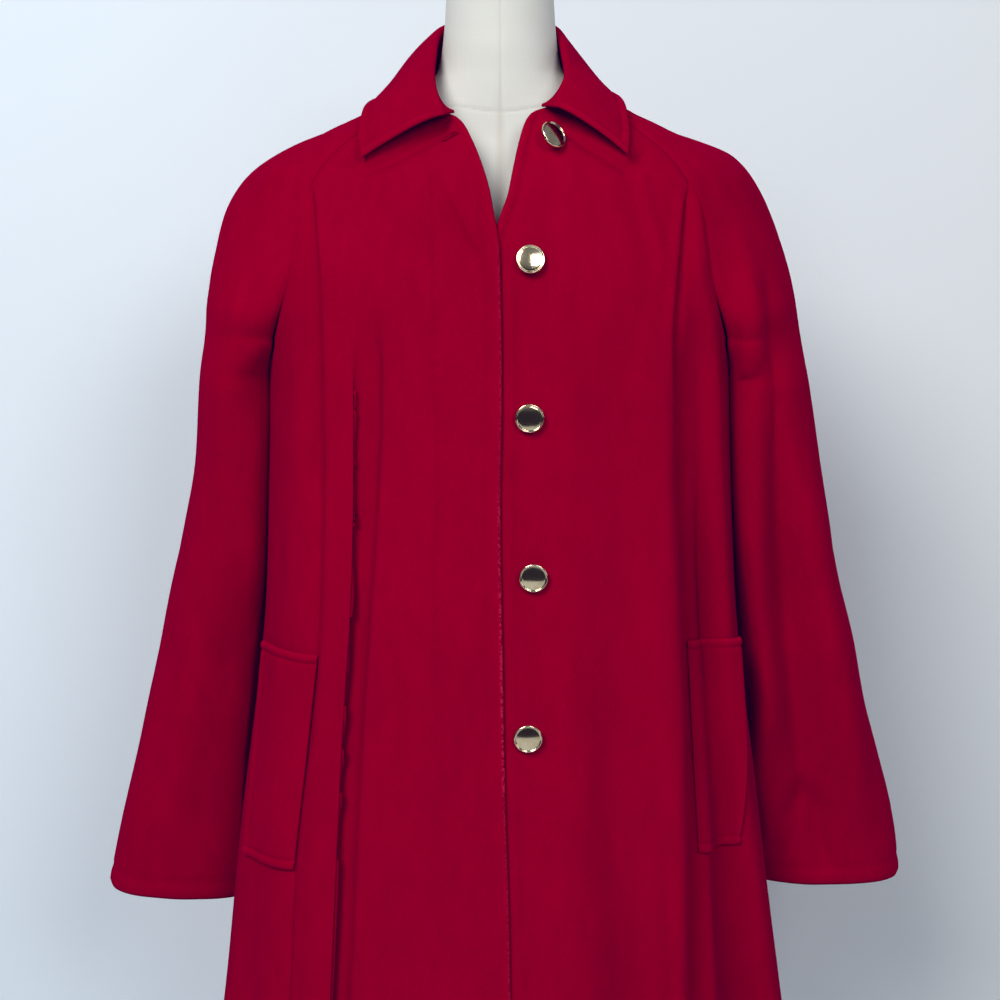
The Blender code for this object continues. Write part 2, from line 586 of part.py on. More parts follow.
def build_back(material, collection):
    level = levels_of_body()
    z = np.where(level < UNDERARM_Z, level, level + rise(level))
    edge = np.where(level < UNDERARM_Z, side_angle(1, level), back_raglan_angle(1, level, z))
    share = np.linspace(0.0, 1.0, 15)
    angle = edge[:, None] + (np.pi - edge)[:, None] * share
    heights = z[:, None] + 0.010 * smooth(1.38, 1.43, level)[:, None] * share
    left = body(angle, heights)
    left_n = body_normal(angle, heights)
    right = body(-angle, heights)
    right_n = body_normal(-angle, heights)
    high = level >= UNDERARM_Z + 1e-6
    left_n[high, 0] = body_rim_normals(1, level[high], True)
    right_n[high, 0] = body_rim_normals(-1, level[high], True)
    points = np.concatenate([left[:, :-1], right[:, ::-1]], axis=1)
    normals = np.concatenate([left_n[:, :-1], right_n[:, ::-1]], axis=1)
    build_panel("back", points, normals, ["left", "right"], WALL, False, material, collection)


def sleeve_levels():
    return np.array(SLEEVE_LEVELS_LOW + LEVELS_HIGH)


def build_sleeve(side, tag, material, collection):
    level = sleeve_levels()
    seam = pchip(OVERARM, 1, level)
    front_share = np.array([0.0, 0.10, 0.24, 0.40, 0.56, 0.70, 0.84, 1.0])
    share = seam[:, None] * front_share
    levels = level[:, None] + 0.0 * share
    points = sleeve(side, share, levels)
    normals = sleeve_normal(side, share, levels)
    high = level >= UNDERARM_Z + 1e-6
    normals[high, 0] = sleeve_rim_normals(side, level[high], False)
    low = ~high
    n0 = sleeve_normal(side, np.zeros(low.sum()), level[low])
    n1 = sleeve_normal(side, np.ones(low.sum()), level[low])
    normals[low, 0] = unit(n0 + n1)
    build_panel("sleeve_front_" + tag, points, normals, ["left", "right"], WALL, side < 0,
                material, collection)
    back_share = np.array([0.0, 0.08, 0.17, 0.26, 0.36, 0.47, 0.58, 0.69, 0.80, 0.91, 1.0])
    share = seam[:, None] + (1.0 - seam)[:, None] * back_share
    levels = level[:, None] + 0.0 * share
    points = sleeve(side, share, levels)
    normals = sleeve_normal(side, share, levels)
    normals[high, -1] = sleeve_rim_normals(side, level[high], True)
    normals[low, -1] = unit(n0 + n1)
    build_panel("sleeve_back_" + tag, points, normals, ["left", "right"], WALL, side < 0,
                material, collection)


def catmull(points, values):
    """Smooth curve through rows of points at the given places (0 to 1)."""
    count = len(points)
    place = np.asarray(values) * (count - 1)
    i = np.clip(place.astype(int), 0, count - 2)
    t = (place - i)[:, None]
    p0 = points[np.maximum(i - 1, 0)]
    p1 = points[i]
    p2 = points[i + 1]
    p3 = points[np.minimum(i + 2, count - 1)]
    return 0.5 * (2 * p1 + (p2 - p0) * t + (2 * p0 - 5 * p1 + 4 * p2 - p3) * t ** 2
                  + (3 * p1 - p0 - 3 * p2 + p3) * t ** 3)


def neckline(side):
    """Points of the coat's neckline on one side, from its front corner to the centre back."""
    LAP_SIDE[0] = side
    dense = np.linspace(0.0, 1.0, 21)
    angle, z = front_domain(side, dense[:-1], dense)
    front = body(angle[-1], z[-1])
    LAP_SIDE[0] = 0
    over = sleeve(side, dense, NECK_SIDE_Z + 0.0 * dense)
    z = NECK_SIDE_Z + BACK_RISE
    edge = back_raglan_angle(side, np.array(NECK_SIDE_Z), np.array(z))
    behind = body(edge + (side * np.pi - edge) * dense, z + 0.010 * dense)
    return np.concatenate([front, over[1:], behind[1:]])


def whole_neckline():
    """Neckline points all round, with the distance run to each."""
    right = neckline(-1)
    left = neckline(1)
    points = np.concatenate([right, left[-2::-1]])
    steps = np.linalg.norm(np.diff(points, axis=0), axis=1)
    return points, np.concatenate([[0.0], np.cumsum(steps)])


def collar_stations():
    right = COLLAR_RIGHT * ([-1, 1, 1] * 3 + [1])
    return np.concatenate([right, COLLAR_LEFT[::-1]])


def square_to(v, axis):
    """Unit part of v that stands square to an axis."""
    way = unit(axis)
    return unit(v - way * (v * way).sum(axis=-1, keepdims=True))


def collar_surface(u, v):
    """Collar: u runs from the right front end round to the left, v from neckline to outer edge."""
    stations = collar_stations()
    rows = catmull(stations, np.asarray(u))
    points, run = whole_neckline()
    nearest = [np.argmin(np.linalg.norm(points - row[:3], axis=1)) for row in stations]
    place = catmull(run[nearest][:, None], np.asarray(u))[:, 0]
    neck = np.stack([np.interp(place, run, points[:, i]) for i in range(3)], axis=-1)
    inward = unit(neck * [1, 1, 0])
    neck = neck - inward * WALL * 0.5 + [0.0, 0.0, COLLAR_RISE]
    neck = neck[:, None, :]
    roll = rows[:, None, 3:6]
    edge = rows[:, None, 6:9]
    t = np.asarray(v)[None, :, None]
    along = unit(np.gradient(rows[:, 3:6], axis=0))[:, None, :]
    up = square_to(np.array([0.0, 0.0, 1.0]) + 0.0 * along, along)
    out = square_to(edge - roll, along * [1, 1, 0])
    out = square_to(out * [1, 1, 0], along)
    centre = roll + out * ROLL_RADIUS - up * ROLL_RADIUS * 0.5
    climb = square_to(roll - neck, along)
    away = unit(out - climb * (out * climb).sum(axis=-1, keepdims=True))
    begin = centre - away * ROLL_RADIUS
    reach = np.linalg.norm(edge - centre, axis=-1, keepdims=True)
    full = rows[:, None, 9:10]
    leave = unit(edge - centre + up * 0.30 * reach * full)
    turned_out = square_to(leave, along)
    sweep = np.arctan2((turned_out * away).sum(axis=-1), (turned_out * climb).sum(axis=-1))[..., None]
    turn = np.clip((t - ROLL_FROM) / (ROLL_TO - ROLL_FROM), 0, 1) * sweep
    round_roll = centre - away * ROLL_RADIUS * np.cos(turn) + climb * ROLL_RADIUS * np.sin(turn)
    end = centre - away * ROLL_RADIUS * np.cos(sweep) + climb * ROLL_RADIUS * np.sin(sweep)
    low = neck + (begin - neck) * np.clip(t / ROLL_FROM, 0, 1)
    fall = np.clip((t - ROLL_TO) / (1.0 - ROLL_TO), 0, 1)
    c1 = end + leave * 0.25 * reach
    c2 = edge + (end - edge) * 0.35 + up * 0.006 * full
    s = 1.0 - fall
    high = s ** 3 * end + 3 * s * s * fall * c1 + 3 * s * fall * fall * c2 + fall ** 3 * edge
    return np.where(t <= ROLL_FROM, low, np.where(t <= ROLL_TO, round_roll, high))


def grid_normals(points):
    a = np.gradient(points, axis=0)
    b = np.gradient(points, axis=1)
    return unit(np.cross(a, b))


def build_collar(material, collection):
    u = np.linspace(0.0, 1.0, 35)
    v = np.array([0.0, 0.16, 0.30, 0.34, 0.38, 0.42, 0.54, 0.70, 0.86, 1.0])
    points = collar_surface(u, v)
    normals = grid_normals(points)
    outer = points + normals * COLLAR_WALL / 2
    inner = points - normals * COLLAR_WALL / 2
    mesh_points, faces = wall_mesh(ordered(outer, True), ordered(inner, True))
    make_object("collar", mesh_points, faces, material, collection)


def build_welt(side, corners, name, material, collection):
    """Slanted welt: the panel's own points moved out."""
    top_in, top_out, low_in, low_out = corners
    u = np.linspace(0.0, 1.0, 5)
    v = np.linspace(0.0, 1.0, 8)
    x_in = low_in[0] + (top_in[0] - low_in[0]) * v
    z_in = low_in[1] + (top_in[1] - low_in[1]) * v
    x_out = low_out[0] + (top_out[0] - low_out[0]) * v
    z_out = low_out[1] + (top_out[1] - low_out[1]) * v
    x = x_in[:, None] + (x_out - x_in)[:, None] * u
    z = z_in[:, None] + (z_out - z_in)[:, None] * u
    angle = side * np.abs(angle_at(side, x, z))
    points = body(angle, z)
    normals = body_normal(angle, z)
    under = points + normals * WELT_LIFT[side]
    lift = WELT_THICK * (1.0 + 0.5 * u[None, :, None])
    over = under + normals * lift
    mesh_points, faces = wall_mesh(ordered(over, side < 0), ordered(under, side < 0))
    make_object(name, mesh_points, faces, material, collection)


def turned(profile, steps):
    """Closed turned body about +Z from a profile of radius and height, both ends on the axis."""
    angles = np.linspace(0.0, 2 * np.pi, steps, endpoint=False)
    rings = [np.stack([r * np.cos(angles), r * np.sin(angles), 0 * angles + h], axis=-1)
             for r, h in profile[1:-1]]
    points = np.concatenate([[[0, 0, profile[0][1]]], *rings, [[0, 0, profile[-1][1]]]])
    faces = []
    last = len(points) - 1
    for i in range(steps):
        j = (i + 1) % steps
        faces.append([0, 1 + i, 1 + j])
        for k in range(len(rings) - 1):
            a = 1 + k * steps
            faces.append([a + i, a + steps + i, a + steps + j, a + j])
        a = 1 + (len(rings) - 1) * steps
        faces.append([last, a + j, a + i])
    return points, faces


def place_turned(name, profile, steps, origin, axis, material, collection):
    points, faces = turned(profile, steps)
    z = unit(np.asarray(axis, float))
    x = unit(np.cross([0.0, 0.0, 1.0] if abs(z[2]) < 0.9 else [0.0, 1.0, 0.0], z))
    y = np.cross(z, x)
    world = points[:, :1] * x + points[:, 1:2] * y + points[:, 2:3] * z + np.asarray(origin)
    mesh = bpy.data.meshes.new(name)
    mesh.from_pydata(world.tolist(), [], faces)
    mesh.update()
    mesh.polygons.foreach_set("use_smooth", [True] * len(mesh.polygons))
    thing = bpy.data.objects.new(name, mesh)
    thing.data.materials.append(material)
    collection.objects.link(thing)
    return thing


def build_button(number, x, z, material, collection):
    LAP_SIDE[0] = 1
    angle = angle_at(1, np.array([x]), np.array([z]))
    point = body(angle, np.array([z]))[0]
    normal = body_normal(angle, np.array([z]))[0]
    LAP_SIDE[0] = 0
    face = normal
    top = 0.0078
    foot = BUTTON_FOOT
    if number == 1:
        face = unit(normal + np.array([0.75, 0.0, 0.10]))
        top = 0.0125
        foot = BUTTON_FOOT + 0.0018
    else:
        face = unit(normal + np.array([0.0, 0.0, -0.06]))
    r = BUTTON_RADIUS
    t = BUTTON_THICK
    profile = [(0, top + 0.0001), (r * 0.45, top), (r * 0.80, top - 0.0006), (r * 0.86, top - 0.0004),
               (r * 0.93, top + 0.0001), (r, top - 0.0006), (r * 0.985, top - t * 0.7),
               (r * 0.85, top - t), (0.0030, top - t), (0.0022, 0.0022), (0.0022, foot), (0, foot)]
    place_turned("button_%d" % number, profile, 18, point, face, material, collection)


def build_form(material, collection):
    table = np.array(FORM_SECTIONS)
    steps = 40
    angles = np.linspace(0.0, 2 * np.pi, steps, endpoint=False)
    rings = []
    for z, half, front, back, power in table:
        sine = np.sin(angles)
        cosine = np.cos(angles)
        x = half * np.sign(sine) * np.abs(sine) ** (2.0 / power)
        depth = np.where(cosine > 0, -front, back)
        y = -np.sign(cosine) * depth * np.abs(cosine) ** (2.0 / power)
        rings.append(np.stack([x, y, 0 * x + z], axis=-1))
    points = np.concatenate(rings)
    faces = []
    for k in range(len(rings) - 1):
        for i in range(steps):
            j = (i + 1) % steps
            a = k * steps
            faces.append([a + i, a + j, a + steps + j, a + steps + i])
    faces.append(list(range(steps))[::-1])
    top = (len(rings) - 1) * steps
    faces.append([top + i for i in range(steps)])
    mesh = bpy.data.meshes.new("form_torso")
    mesh.from_pydata(points.tolist(), [], faces)
    mesh.update()
    mesh.polygons.foreach_set("use_smooth", [True] * len(mesh.polygons))
    thing = bpy.data.objects.new("form_torso", mesh)
    thing.data.materials.append(material)
    collection.objects.link(thing)


def main():
    for thing in list(bpy.data.objects):
        bpy.data.objects.remove(thing, do_unlink=True)
    collection = bpy.data.collections.new("swing_coat")
    bpy.context.scene.collection.children.link(collection)
    wool = make_material("wool", COLOURS["wool"], 0.0, 0.9)
    metal = make_material("polished_metal", COLOURS["metal"], 1.0, 0.15)
    canvas = make_material("canvas", COLOURS["canvas"], 0.0, 0.9)
    wood = make_material("turned_wood", COLOURS["wood"], 0.0, 0.5)
    iron = make_material("painted_iron", COLOURS["iron"], 0.0, 0.4)
    build_front(-1, "front_right", wool, collection)
    build_front(1, "front_left", wool, collection)
    build_side_front(-1, "side_front_right", wool, collection)
    build_side_front(1, "side_front_left", wool, collection)
    build_back(wool, collection)
    build_sleeve(-1, "right", wool, collection)
    build_sleeve(1, "left", wool, collection)
    build_collar(wool, collection)
    build_welt(-1, WELT_RIGHT, "welt_right", wool, collection)
    build_welt(1, WELT_LEFT, "welt_left", wool, collection)
    for number, (x, z) in enumerate(BUTTONS, start=1):
        build_button(number, x, z, metal, collection)
    build_form(canvas, collection)
    top = FORM_SECTIONS[-1][0] + 0.0003
    cap = [(0, top + 0.030), (0.014, top + 0.028), (0.030, top + 0.020), (0.041, top + 0.010),
           (0.0440, top + 0.003), (0.0440, top), (0, top)]
    place_turned("neck_cap", cap, 32, (0, -0.0035, 0), (0, 0, 1), wood, collection)
    low = FORM_SECTIONS[0][0] - 0.0003
    pole = [(0, low), (POLE_RADIUS, low), (POLE_RADIUS, BASE_HEIGHT + 0.0003),
            (0, BASE_HEIGHT + 0.0003)]
    place_turned("pole", pole, 24, (0, 0, 0), (0, 0, 1), iron, collection)
    base = [(0, BASE_HEIGHT), (BASE_RADIUS - 0.010, BASE_HEIGHT), (BASE_RADIUS, BASE_HEIGHT - 0.008),
            (BASE_RADIUS, 0.0), (0, 0.0)]
    place_turned("base", base, 48, (0, 0, 0), (0, 0, 1), iron, collection)


main()
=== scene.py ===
"""Looks of a swing coat with raglan sleeves, hung on a limbless canvas dress form.

The cloth is worked out again from the named tables of the model, on a much finer grid, and then
gets what the model leaves out: rolled edges, seams, topstitching, soft creases and a napped wool.
Metres, +Z up, front towards -Y, the wearer's left at +X.
"""

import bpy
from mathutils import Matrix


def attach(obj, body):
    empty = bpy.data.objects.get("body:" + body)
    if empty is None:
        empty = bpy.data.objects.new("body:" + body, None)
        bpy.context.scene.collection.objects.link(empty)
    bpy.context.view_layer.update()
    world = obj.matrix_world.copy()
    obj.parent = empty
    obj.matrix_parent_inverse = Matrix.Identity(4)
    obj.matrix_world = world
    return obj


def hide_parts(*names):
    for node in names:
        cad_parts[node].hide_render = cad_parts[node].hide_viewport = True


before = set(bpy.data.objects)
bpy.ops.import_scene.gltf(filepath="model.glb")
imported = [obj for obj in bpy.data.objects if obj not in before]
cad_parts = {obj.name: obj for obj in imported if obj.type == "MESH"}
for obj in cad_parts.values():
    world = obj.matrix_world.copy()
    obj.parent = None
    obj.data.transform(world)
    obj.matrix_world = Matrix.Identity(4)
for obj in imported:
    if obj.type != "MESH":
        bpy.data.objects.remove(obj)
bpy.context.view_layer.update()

import logging
import math
from dataclasses import dataclass, field
from enum import Enum

import bpy
import numpy as np
from mathutils import Vector

LOG = logging.getLogger("swing_coat")
Array = np.ndarray
Thing = bpy.types.Object
Material = bpy.types.Material
Node = bpy.types.Node
Socket = bpy.types.NodeSocket
Values = dict[str, Array]
Colour = tuple[float, float, float, float]
Line = list[tuple[float, float]]


class Side(Enum):
    """The wearer's side of a piece, as the sign of its x."""

    RIGHT = -1
    LEFT = 1

    @property
    def word(self) -> str:
        """Name used in the node names."""
        return "right" if self is Side.RIGHT else "left"


def table(*rows: tuple[float, ...]) -> Array:
    """Dataclass field that holds rows of numbers as one array."""
    return field(default_factory=lambda: np.array(rows))


def pchip(rows: Array, column: int, value: Array) -> Array:
    """Smooth monotone interpolation: cubic pieces whose slopes are weighted harmonic means.

    Args:
        rows: Table whose first column rises.
        column: Column that is read.
        value: Places in the first column.

    Returns:
        The column's value at each place.
    """
    x = rows[:, 0]
    y = rows[:, column]
    h = np.diff(x)
    d = np.diff(y) / h
    m = np.zeros_like(y)
    same = d[:-1] * d[1:] > 0
    w1 = 2 * h[1:] + h[:-1]
    w2 = h[1:] + 2 * h[:-1]
    left = np.where(same, d[:-1], 1.0)
    right = np.where(same, d[1:], 1.0)
    m[1:-1] = np.where(same, (w1 + w2) / (w1 / left + w2 / right), 0.0)
    m[0] = d[0]
    m[-1] = d[-1]
    v = np.clip(np.asarray(value, float), x[0], x[-1])
    i = np.clip(np.searchsorted(x, v, side="right") - 1, 0, len(x) - 2)
    t = (v - x[i]) / h[i]
    h00 = (1 + 2 * t) * (1 - t) ** 2
    h10 = t * (1 - t) ** 2
    h01 = t * t * (3 - 2 * t)
    h11 = t * t * (t - 1)
    return h00 * y[i] + h10 * h[i] * m[i] + h01 * y[i + 1] + h11 * h[i] * m[i + 1]


def smooth(low: float, high: float, value: Array) -> Array:
    """Smooth step, 0 at low and 1 at high: 3 t squared minus 2 t cubed."""
    t = np.clip((np.asarray(value, float) - low) / (high - low), 0.0, 1.0)
    return t * t * (3.0 - 2.0 * t)


def bump(distance: Array, width: float) -> Array:
    """Soft hill of height 1: e to the minus square of distance over width."""
    return np.exp(-(distance / width) ** 2)


def unit(v: Array) -> Array:
    """Vectors scaled to length 1."""
    return v / (np.linalg.norm(v, axis=-1, keepdims=True) + 1e-12)


def square_to(v: Array, axis: Array) -> Array:
    """Unit part of v that stands square to an axis."""
    way = unit(axis)
    return unit(v - way * (v * way).sum(axis=-1, keepdims=True))


def bezier(a: Array, b: Array, c: Array, d: Array, t: Array) -> Array:
    """Cubic curve from a to d, steered by b and c, at the places t from 0 to 1.

    Args:
        a: Start.
        b: Point that steers the start.
        c: Point that steers the end.
        d: End.
        t: Places from 0 to 1.

    Returns:
        Points of the curve.
    """
    t = t[..., None]
    s = 1.0 - t
    return s ** 3 * a + 3 * s * s * t * b + 3 * s * t * t * c + t ** 3 * d


def paced(count: int, tight: float = 0.6) -> Array:
    """Places from 0 to 1 that crowd towards both ends: a mix of even steps and a cosine.

    Args:
        count: How many places.
        tight: 0 for even steps, near 1 for very close ones at the ends.

    Returns:
        The places, rising.
    """
    s = np.linspace(0.0, 1.0, count)
    return (1.0 - tight) * s + tight * (0.5 - 0.5 * np.cos(np.pi * s))


def to_line(x: Array, z: Array, line: Line) -> tuple[Array, Array]:
    """Distance in a plane from points to a drawn line of straight runs.

    Args:
        x: First coordinate of the points.
        z: Second coordinate of the points.
        line: Corners of the line.

    Returns:
        Signed distance (plus to the left of the way it runs) and share of the line's length.
    """
    corners = np.array(line)
    steps = np.linalg.norm(np.diff(corners, axis=0), axis=1)
    total = steps.sum()
    best = np.full(np.shape(x), 1e9)
    place = np.zeros(np.shape(x))
    sign = np.ones(np.shape(x))
    run = 0.0
    for a, b, length in zip(corners[:-1], corners[1:], steps):
        way = (b - a) / length
        along = np.clip((x - a[0]) * way[0] + (z - a[1]) * way[1], 0.0, length)
        dx = x - a[0] - way[0] * along
        dz = z - a[1] - way[1] * along
        gap = np.hypot(dx, dz)
        nearer = gap < best
        best = np.where(nearer, gap, best)
        place = np.where(nearer, (run + along) / total, place)
        sign = np.where(nearer, np.sign(way[0] * dz - way[1] * dx), sign)
        run += length
    return best * sign, place


def crease(x: Array, z: Array, line: Line, depth: float, width: float,
           ends: float = 0.25) -> Array:
    """Soft trough (or ridge, with a plus depth) along a line, fading towards both its ends.

    Args:
        x: First coordinate of the points.
        z: Second coordinate of the points.
        line: Corners of the crease.
        depth: Height of the ridge, minus for a trough.
        width: Half width.
        ends: Share of the length over which it fades in and out.

    Returns:
        Height to move out by.
    """
    gap, place = to_line(x, z, line)
    fade = smooth(0.0, ends, place) * smooth(0.0, ends, 1.0 - place)
    return depth * bump(gap, width) * fade


def ripple(points: Array, amount: float) -> Array:
    """Slow unevenness of hung cloth: a sum of sines that are long down the cloth and short across.

    Args:
        points: Places on the cloth.
        amount: Greatest height.

    Returns:
        Height to move out by. It is the same for two panels at the seam that they share.
    """
    x = points[..., 0]
    y = points[..., 1]
    z = points[..., 2]
    waves = (np.sin(71 * x + 43 * y + 9 * z + 0.6) + 0.8 * np.sin(118 * x - 66 * y - 14 * z + 2.1)
             + 0.6 * np.sin(37 * x + 97 * y + 21 * z + 4.0)
             + 0.5 * np.sin(160 * x + 120 * y + 17 * z + 1.3))
    return amount * waves / 2.9


def arcs(points: Array) -> Values:
    """Distance over a grid's surface from each of its four sides, along its own lines.

    Args:
        points: Grid of points.

    Returns:
        Distances under left, right, bottom and top.
    """
    rows = np.linalg.norm(np.diff(points, axis=1), axis=-1)
    columns = np.linalg.norm(np.diff(points, axis=0), axis=-1)
    across = np.concatenate([np.zeros((len(points), 1)), np.cumsum(rows, axis=1)], axis=1)
    up = np.concatenate([np.zeros((1, points.shape[1])), np.cumsum(columns, axis=0)], axis=0)
    return {"left": across, "right": across[:, -1:] - across, "bottom": up, "top": up[-1:] - up}


def grid_normals(points: Array) -> Array:
    """Unit normals of a grid: the cross product of its two directions.

    Args:
        points: Grid of points.

    Returns:
        Normals.
    """
    a = np.gradient(points, axis=0)
    b = np.gradient(points, axis=1)
    return unit(np.cross(a, b))


def grid_faces(rows: int, columns: int, offset: int, flip: bool) -> Array:
    """Four-sided faces of a grid whose first vertex is at offset.

    Args:
        rows: Rows of the grid.
        columns: Its columns.
        offset: Number of its first vertex.
        flip: True to turn the faces over.

    Returns:
        Vertex numbers of each face.
    """
    index = np.arange(rows * columns).reshape(rows, columns) + offset
    quads = np.stack([index[:-1, :-1], index[:-1, 1:], index[1:, 1:], index[1:, :-1]], axis=-1)
    quads = quads.reshape(-1, 4)
    return quads[:, ::-1] if flip else quads


def mesh_object(name: str, points: Array, faces: list, material: Material,
                values: Values | None = None) -> Thing:
    """Makes an object at the origin from points and faces.

    Args:
        name: Object name.
        points: Vertex places.
        faces: Vertex numbers of each face.
        material: Its one material.
        values: Named numbers, one for each vertex.

    Returns:
        The object, linked to the scene.
    """
    mesh = bpy.data.meshes.new(name)
    mesh.from_pydata(points.tolist(), [], faces)
    mesh.update()
    mesh.polygons.foreach_set("use_smooth", np.ones(len(mesh.polygons), dtype=bool))
    for key, numbers in (values or {}).items():
        layer = mesh.attributes.new(key, "FLOAT", "POINT")
        layer.data.foreach_set("value", np.ascontiguousarray(numbers.ravel(), dtype=np.float32))
    mesh.materials.append(material)
    thing = bpy.data.objects.new(name, mesh)
    bpy.context.scene.collection.objects.link(thing)
    return thing


def cloth_shell(name: str, outer: Array, normals: Array, thick: float | Array,
                rims: tuple[str, ...], flip: bool, material: Material,
                values: Values | None = None) -> Thing:
    """Closed thin shell of cloth under a grid, with chosen sides rounded as folded edges are.

    The half thickness near a rounded side follows a quarter circle of the distance from it.

    Args:
        name: Object name.
        outer: Outside face as a grid of points.
        normals: Outward unit normals.
        thick: Thickness, one number or one for each point.
        rims: Sides that end in a rounded fold.
        flip: True where the grid's columns run against the outward face.
        material: Cloth.
        values: Named numbers, one for each grid point.

    Returns:
        The object.
    """
    thick = np.zeros(outer.shape[:2]) + thick
    reach = arcs(outer)
    shape = np.ones(outer.shape[:2])
    for rim in rims:
        t = np.clip(1.0 - reach[rim] / (thick * 0.62), 0.0, 1.0)
        shape = shape * np.sqrt(np.maximum(1.0 - t * t, 0.03))
    middle = outer - normals * (thick / 2)[..., None]
    half = (thick * shape / 2)[..., None]
    top = middle + normals * half
    low = middle - normals * half
    if flip:
        top = top[:, ::-1]
        low = low[:, ::-1]
    rows, columns = outer.shape[:2]
    count = rows * columns
    index = np.arange(count).reshape(rows, columns)
    rim = np.concatenate([index[0, :-1], index[:-1, -1], index[-1, :0:-1], index[:0:-1, 0]])
    after = np.roll(rim, -1)
    sides = np.stack([after, rim, rim + count, after + count], axis=-1)
    faces = np.concatenate([grid_faces(rows, columns, 0, False),
                            grid_faces(rows, columns, count, True), sides])
    points = np.concatenate([top.reshape(-1, 3), low.reshape(-1, 3)])
    both = {}
    for key, numbers in (values or {}).items():
        grid = numbers[:, ::-1] if flip else numbers
        both[key] = np.concatenate([grid.ravel(), grid.ravel()])
    return mesh_object(name, points, faces.tolist(), material, both)


def revolve(profile: Line, steps: int) -> tuple[Array, list]:
    """Closed turned body about +Z: the profile's radii swept round, its two ends on the axis.

    Args:
        profile: Radius and height of each ring, the first and last with radius 0.
        steps: Sides round the axis.

    Returns:
        Points and faces, facing outwards where the profile runs from the top down.
    """
    rings = np.array(profile[1:-1])
    turn = np.linspace(0.0, 2 * np.pi, steps, endpoint=False)
    ring_x = rings[:, :1] * np.cos(turn)
    ring_y = rings[:, :1] * np.sin(turn)
    ring_z = rings[:, 1:] + 0.0 * turn
    body = np.stack([ring_x, ring_y, ring_z], axis=-1).reshape(-1, 3)
    ends = np.array([[0.0, 0.0, profile[0][1]], [0.0, 0.0, profile[-1][1]]])
    points = np.concatenate([body, ends])
    index = np.arange(len(rings) * steps).reshape(len(rings), steps)
    beside = np.roll(index, -1, axis=1)
    walls = ring_faces(index)[:, [0, 3, 2, 1]]
    top = len(body)
    first = np.stack([np.full(steps, top), index[0], beside[0]], axis=-1)
    last = np.stack([np.full(steps, top + 1), beside[-1], index[-1]], axis=-1)
    return points, walls.tolist() + first.tolist() + last.tolist()


def dress(piece: Thing, nodes: tuple[str, ...]) -> Thing:
    """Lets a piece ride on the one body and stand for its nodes.

    Args:
        piece: The object.
        nodes: CAD nodes that it replaces.

    Returns:
        The object.
    """
    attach(piece, "root")
    if nodes:
        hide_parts(*nodes)
    LOG.info("made %s with %d faces", piece.name, len(piece.data.polygons))
    return piece


def declare_sheet(piece: Thing, grid: Array) -> None:
    """States a piece's flat cut: its longest row, its longest column and its area.

    Args:
        piece: The object.
        grid: Its cloth as a grid.
    """
    rows = np.linalg.norm(np.diff(grid, axis=1), axis=-1).sum(axis=1)
    columns = np.linalg.norm(np.diff(grid, axis=0), axis=-1).sum(axis=0)
    a = grid[1:, 1:] - grid[:-1, :-1]
    b = grid[1:, :-1] - grid[:-1, 1:]
    area = float(np.linalg.norm(np.cross(a, b), axis=-1).sum() / 2)
    flat = (float(rows.max()), float(columns.max()))
    area = min(area, flat[0] * flat[1])
    LOG.info("%s is cut %.3f by %.3f m, %.4f square metres", piece.name, *flat, area)


def hang(name: str, points: Array, normals: Array, thick: float | Array, rims: tuple[str, ...],
         flip: bool, wool: Material, values: Values,
         flat: Array | None = None) -> Thing:
    """Args:
        name: The node that it stands for.
        points: Outside face as a grid.
        normals: Outward unit normals.
        thick: Thickness.
        rims: Sides that end in a rounded fold.
        flip: True where the grid's columns run against the outward face.
        wool: Cloth.
        values: Named numbers of the grid's points.
        flat: Grid that gives the flat size, if not the points.

    Returns:
        The object.
    """
    piece = cloth_shell(name + "_cloth", points, normals, thick, rims, flip, wool, values)
    declare_sheet(piece, points if flat is None else flat)
    return dress(piece, (name,))


def turned_hem(reach: Values) -> Array:
    """Extra thickness where the hem is turned up."""
    return 0.0012 * smooth(0.034, 0.028, reach["bottom"])


def ring_faces(index: Array) -> Array:
    """Four-sided faces between the rings of a grid whose columns close on themselves."""
    beside = np.roll(index, -1, axis=1)
    return np.stack([index[:-1], beside[:-1], beside[1:], index[1:]], axis=-1).reshape(-1, 4)


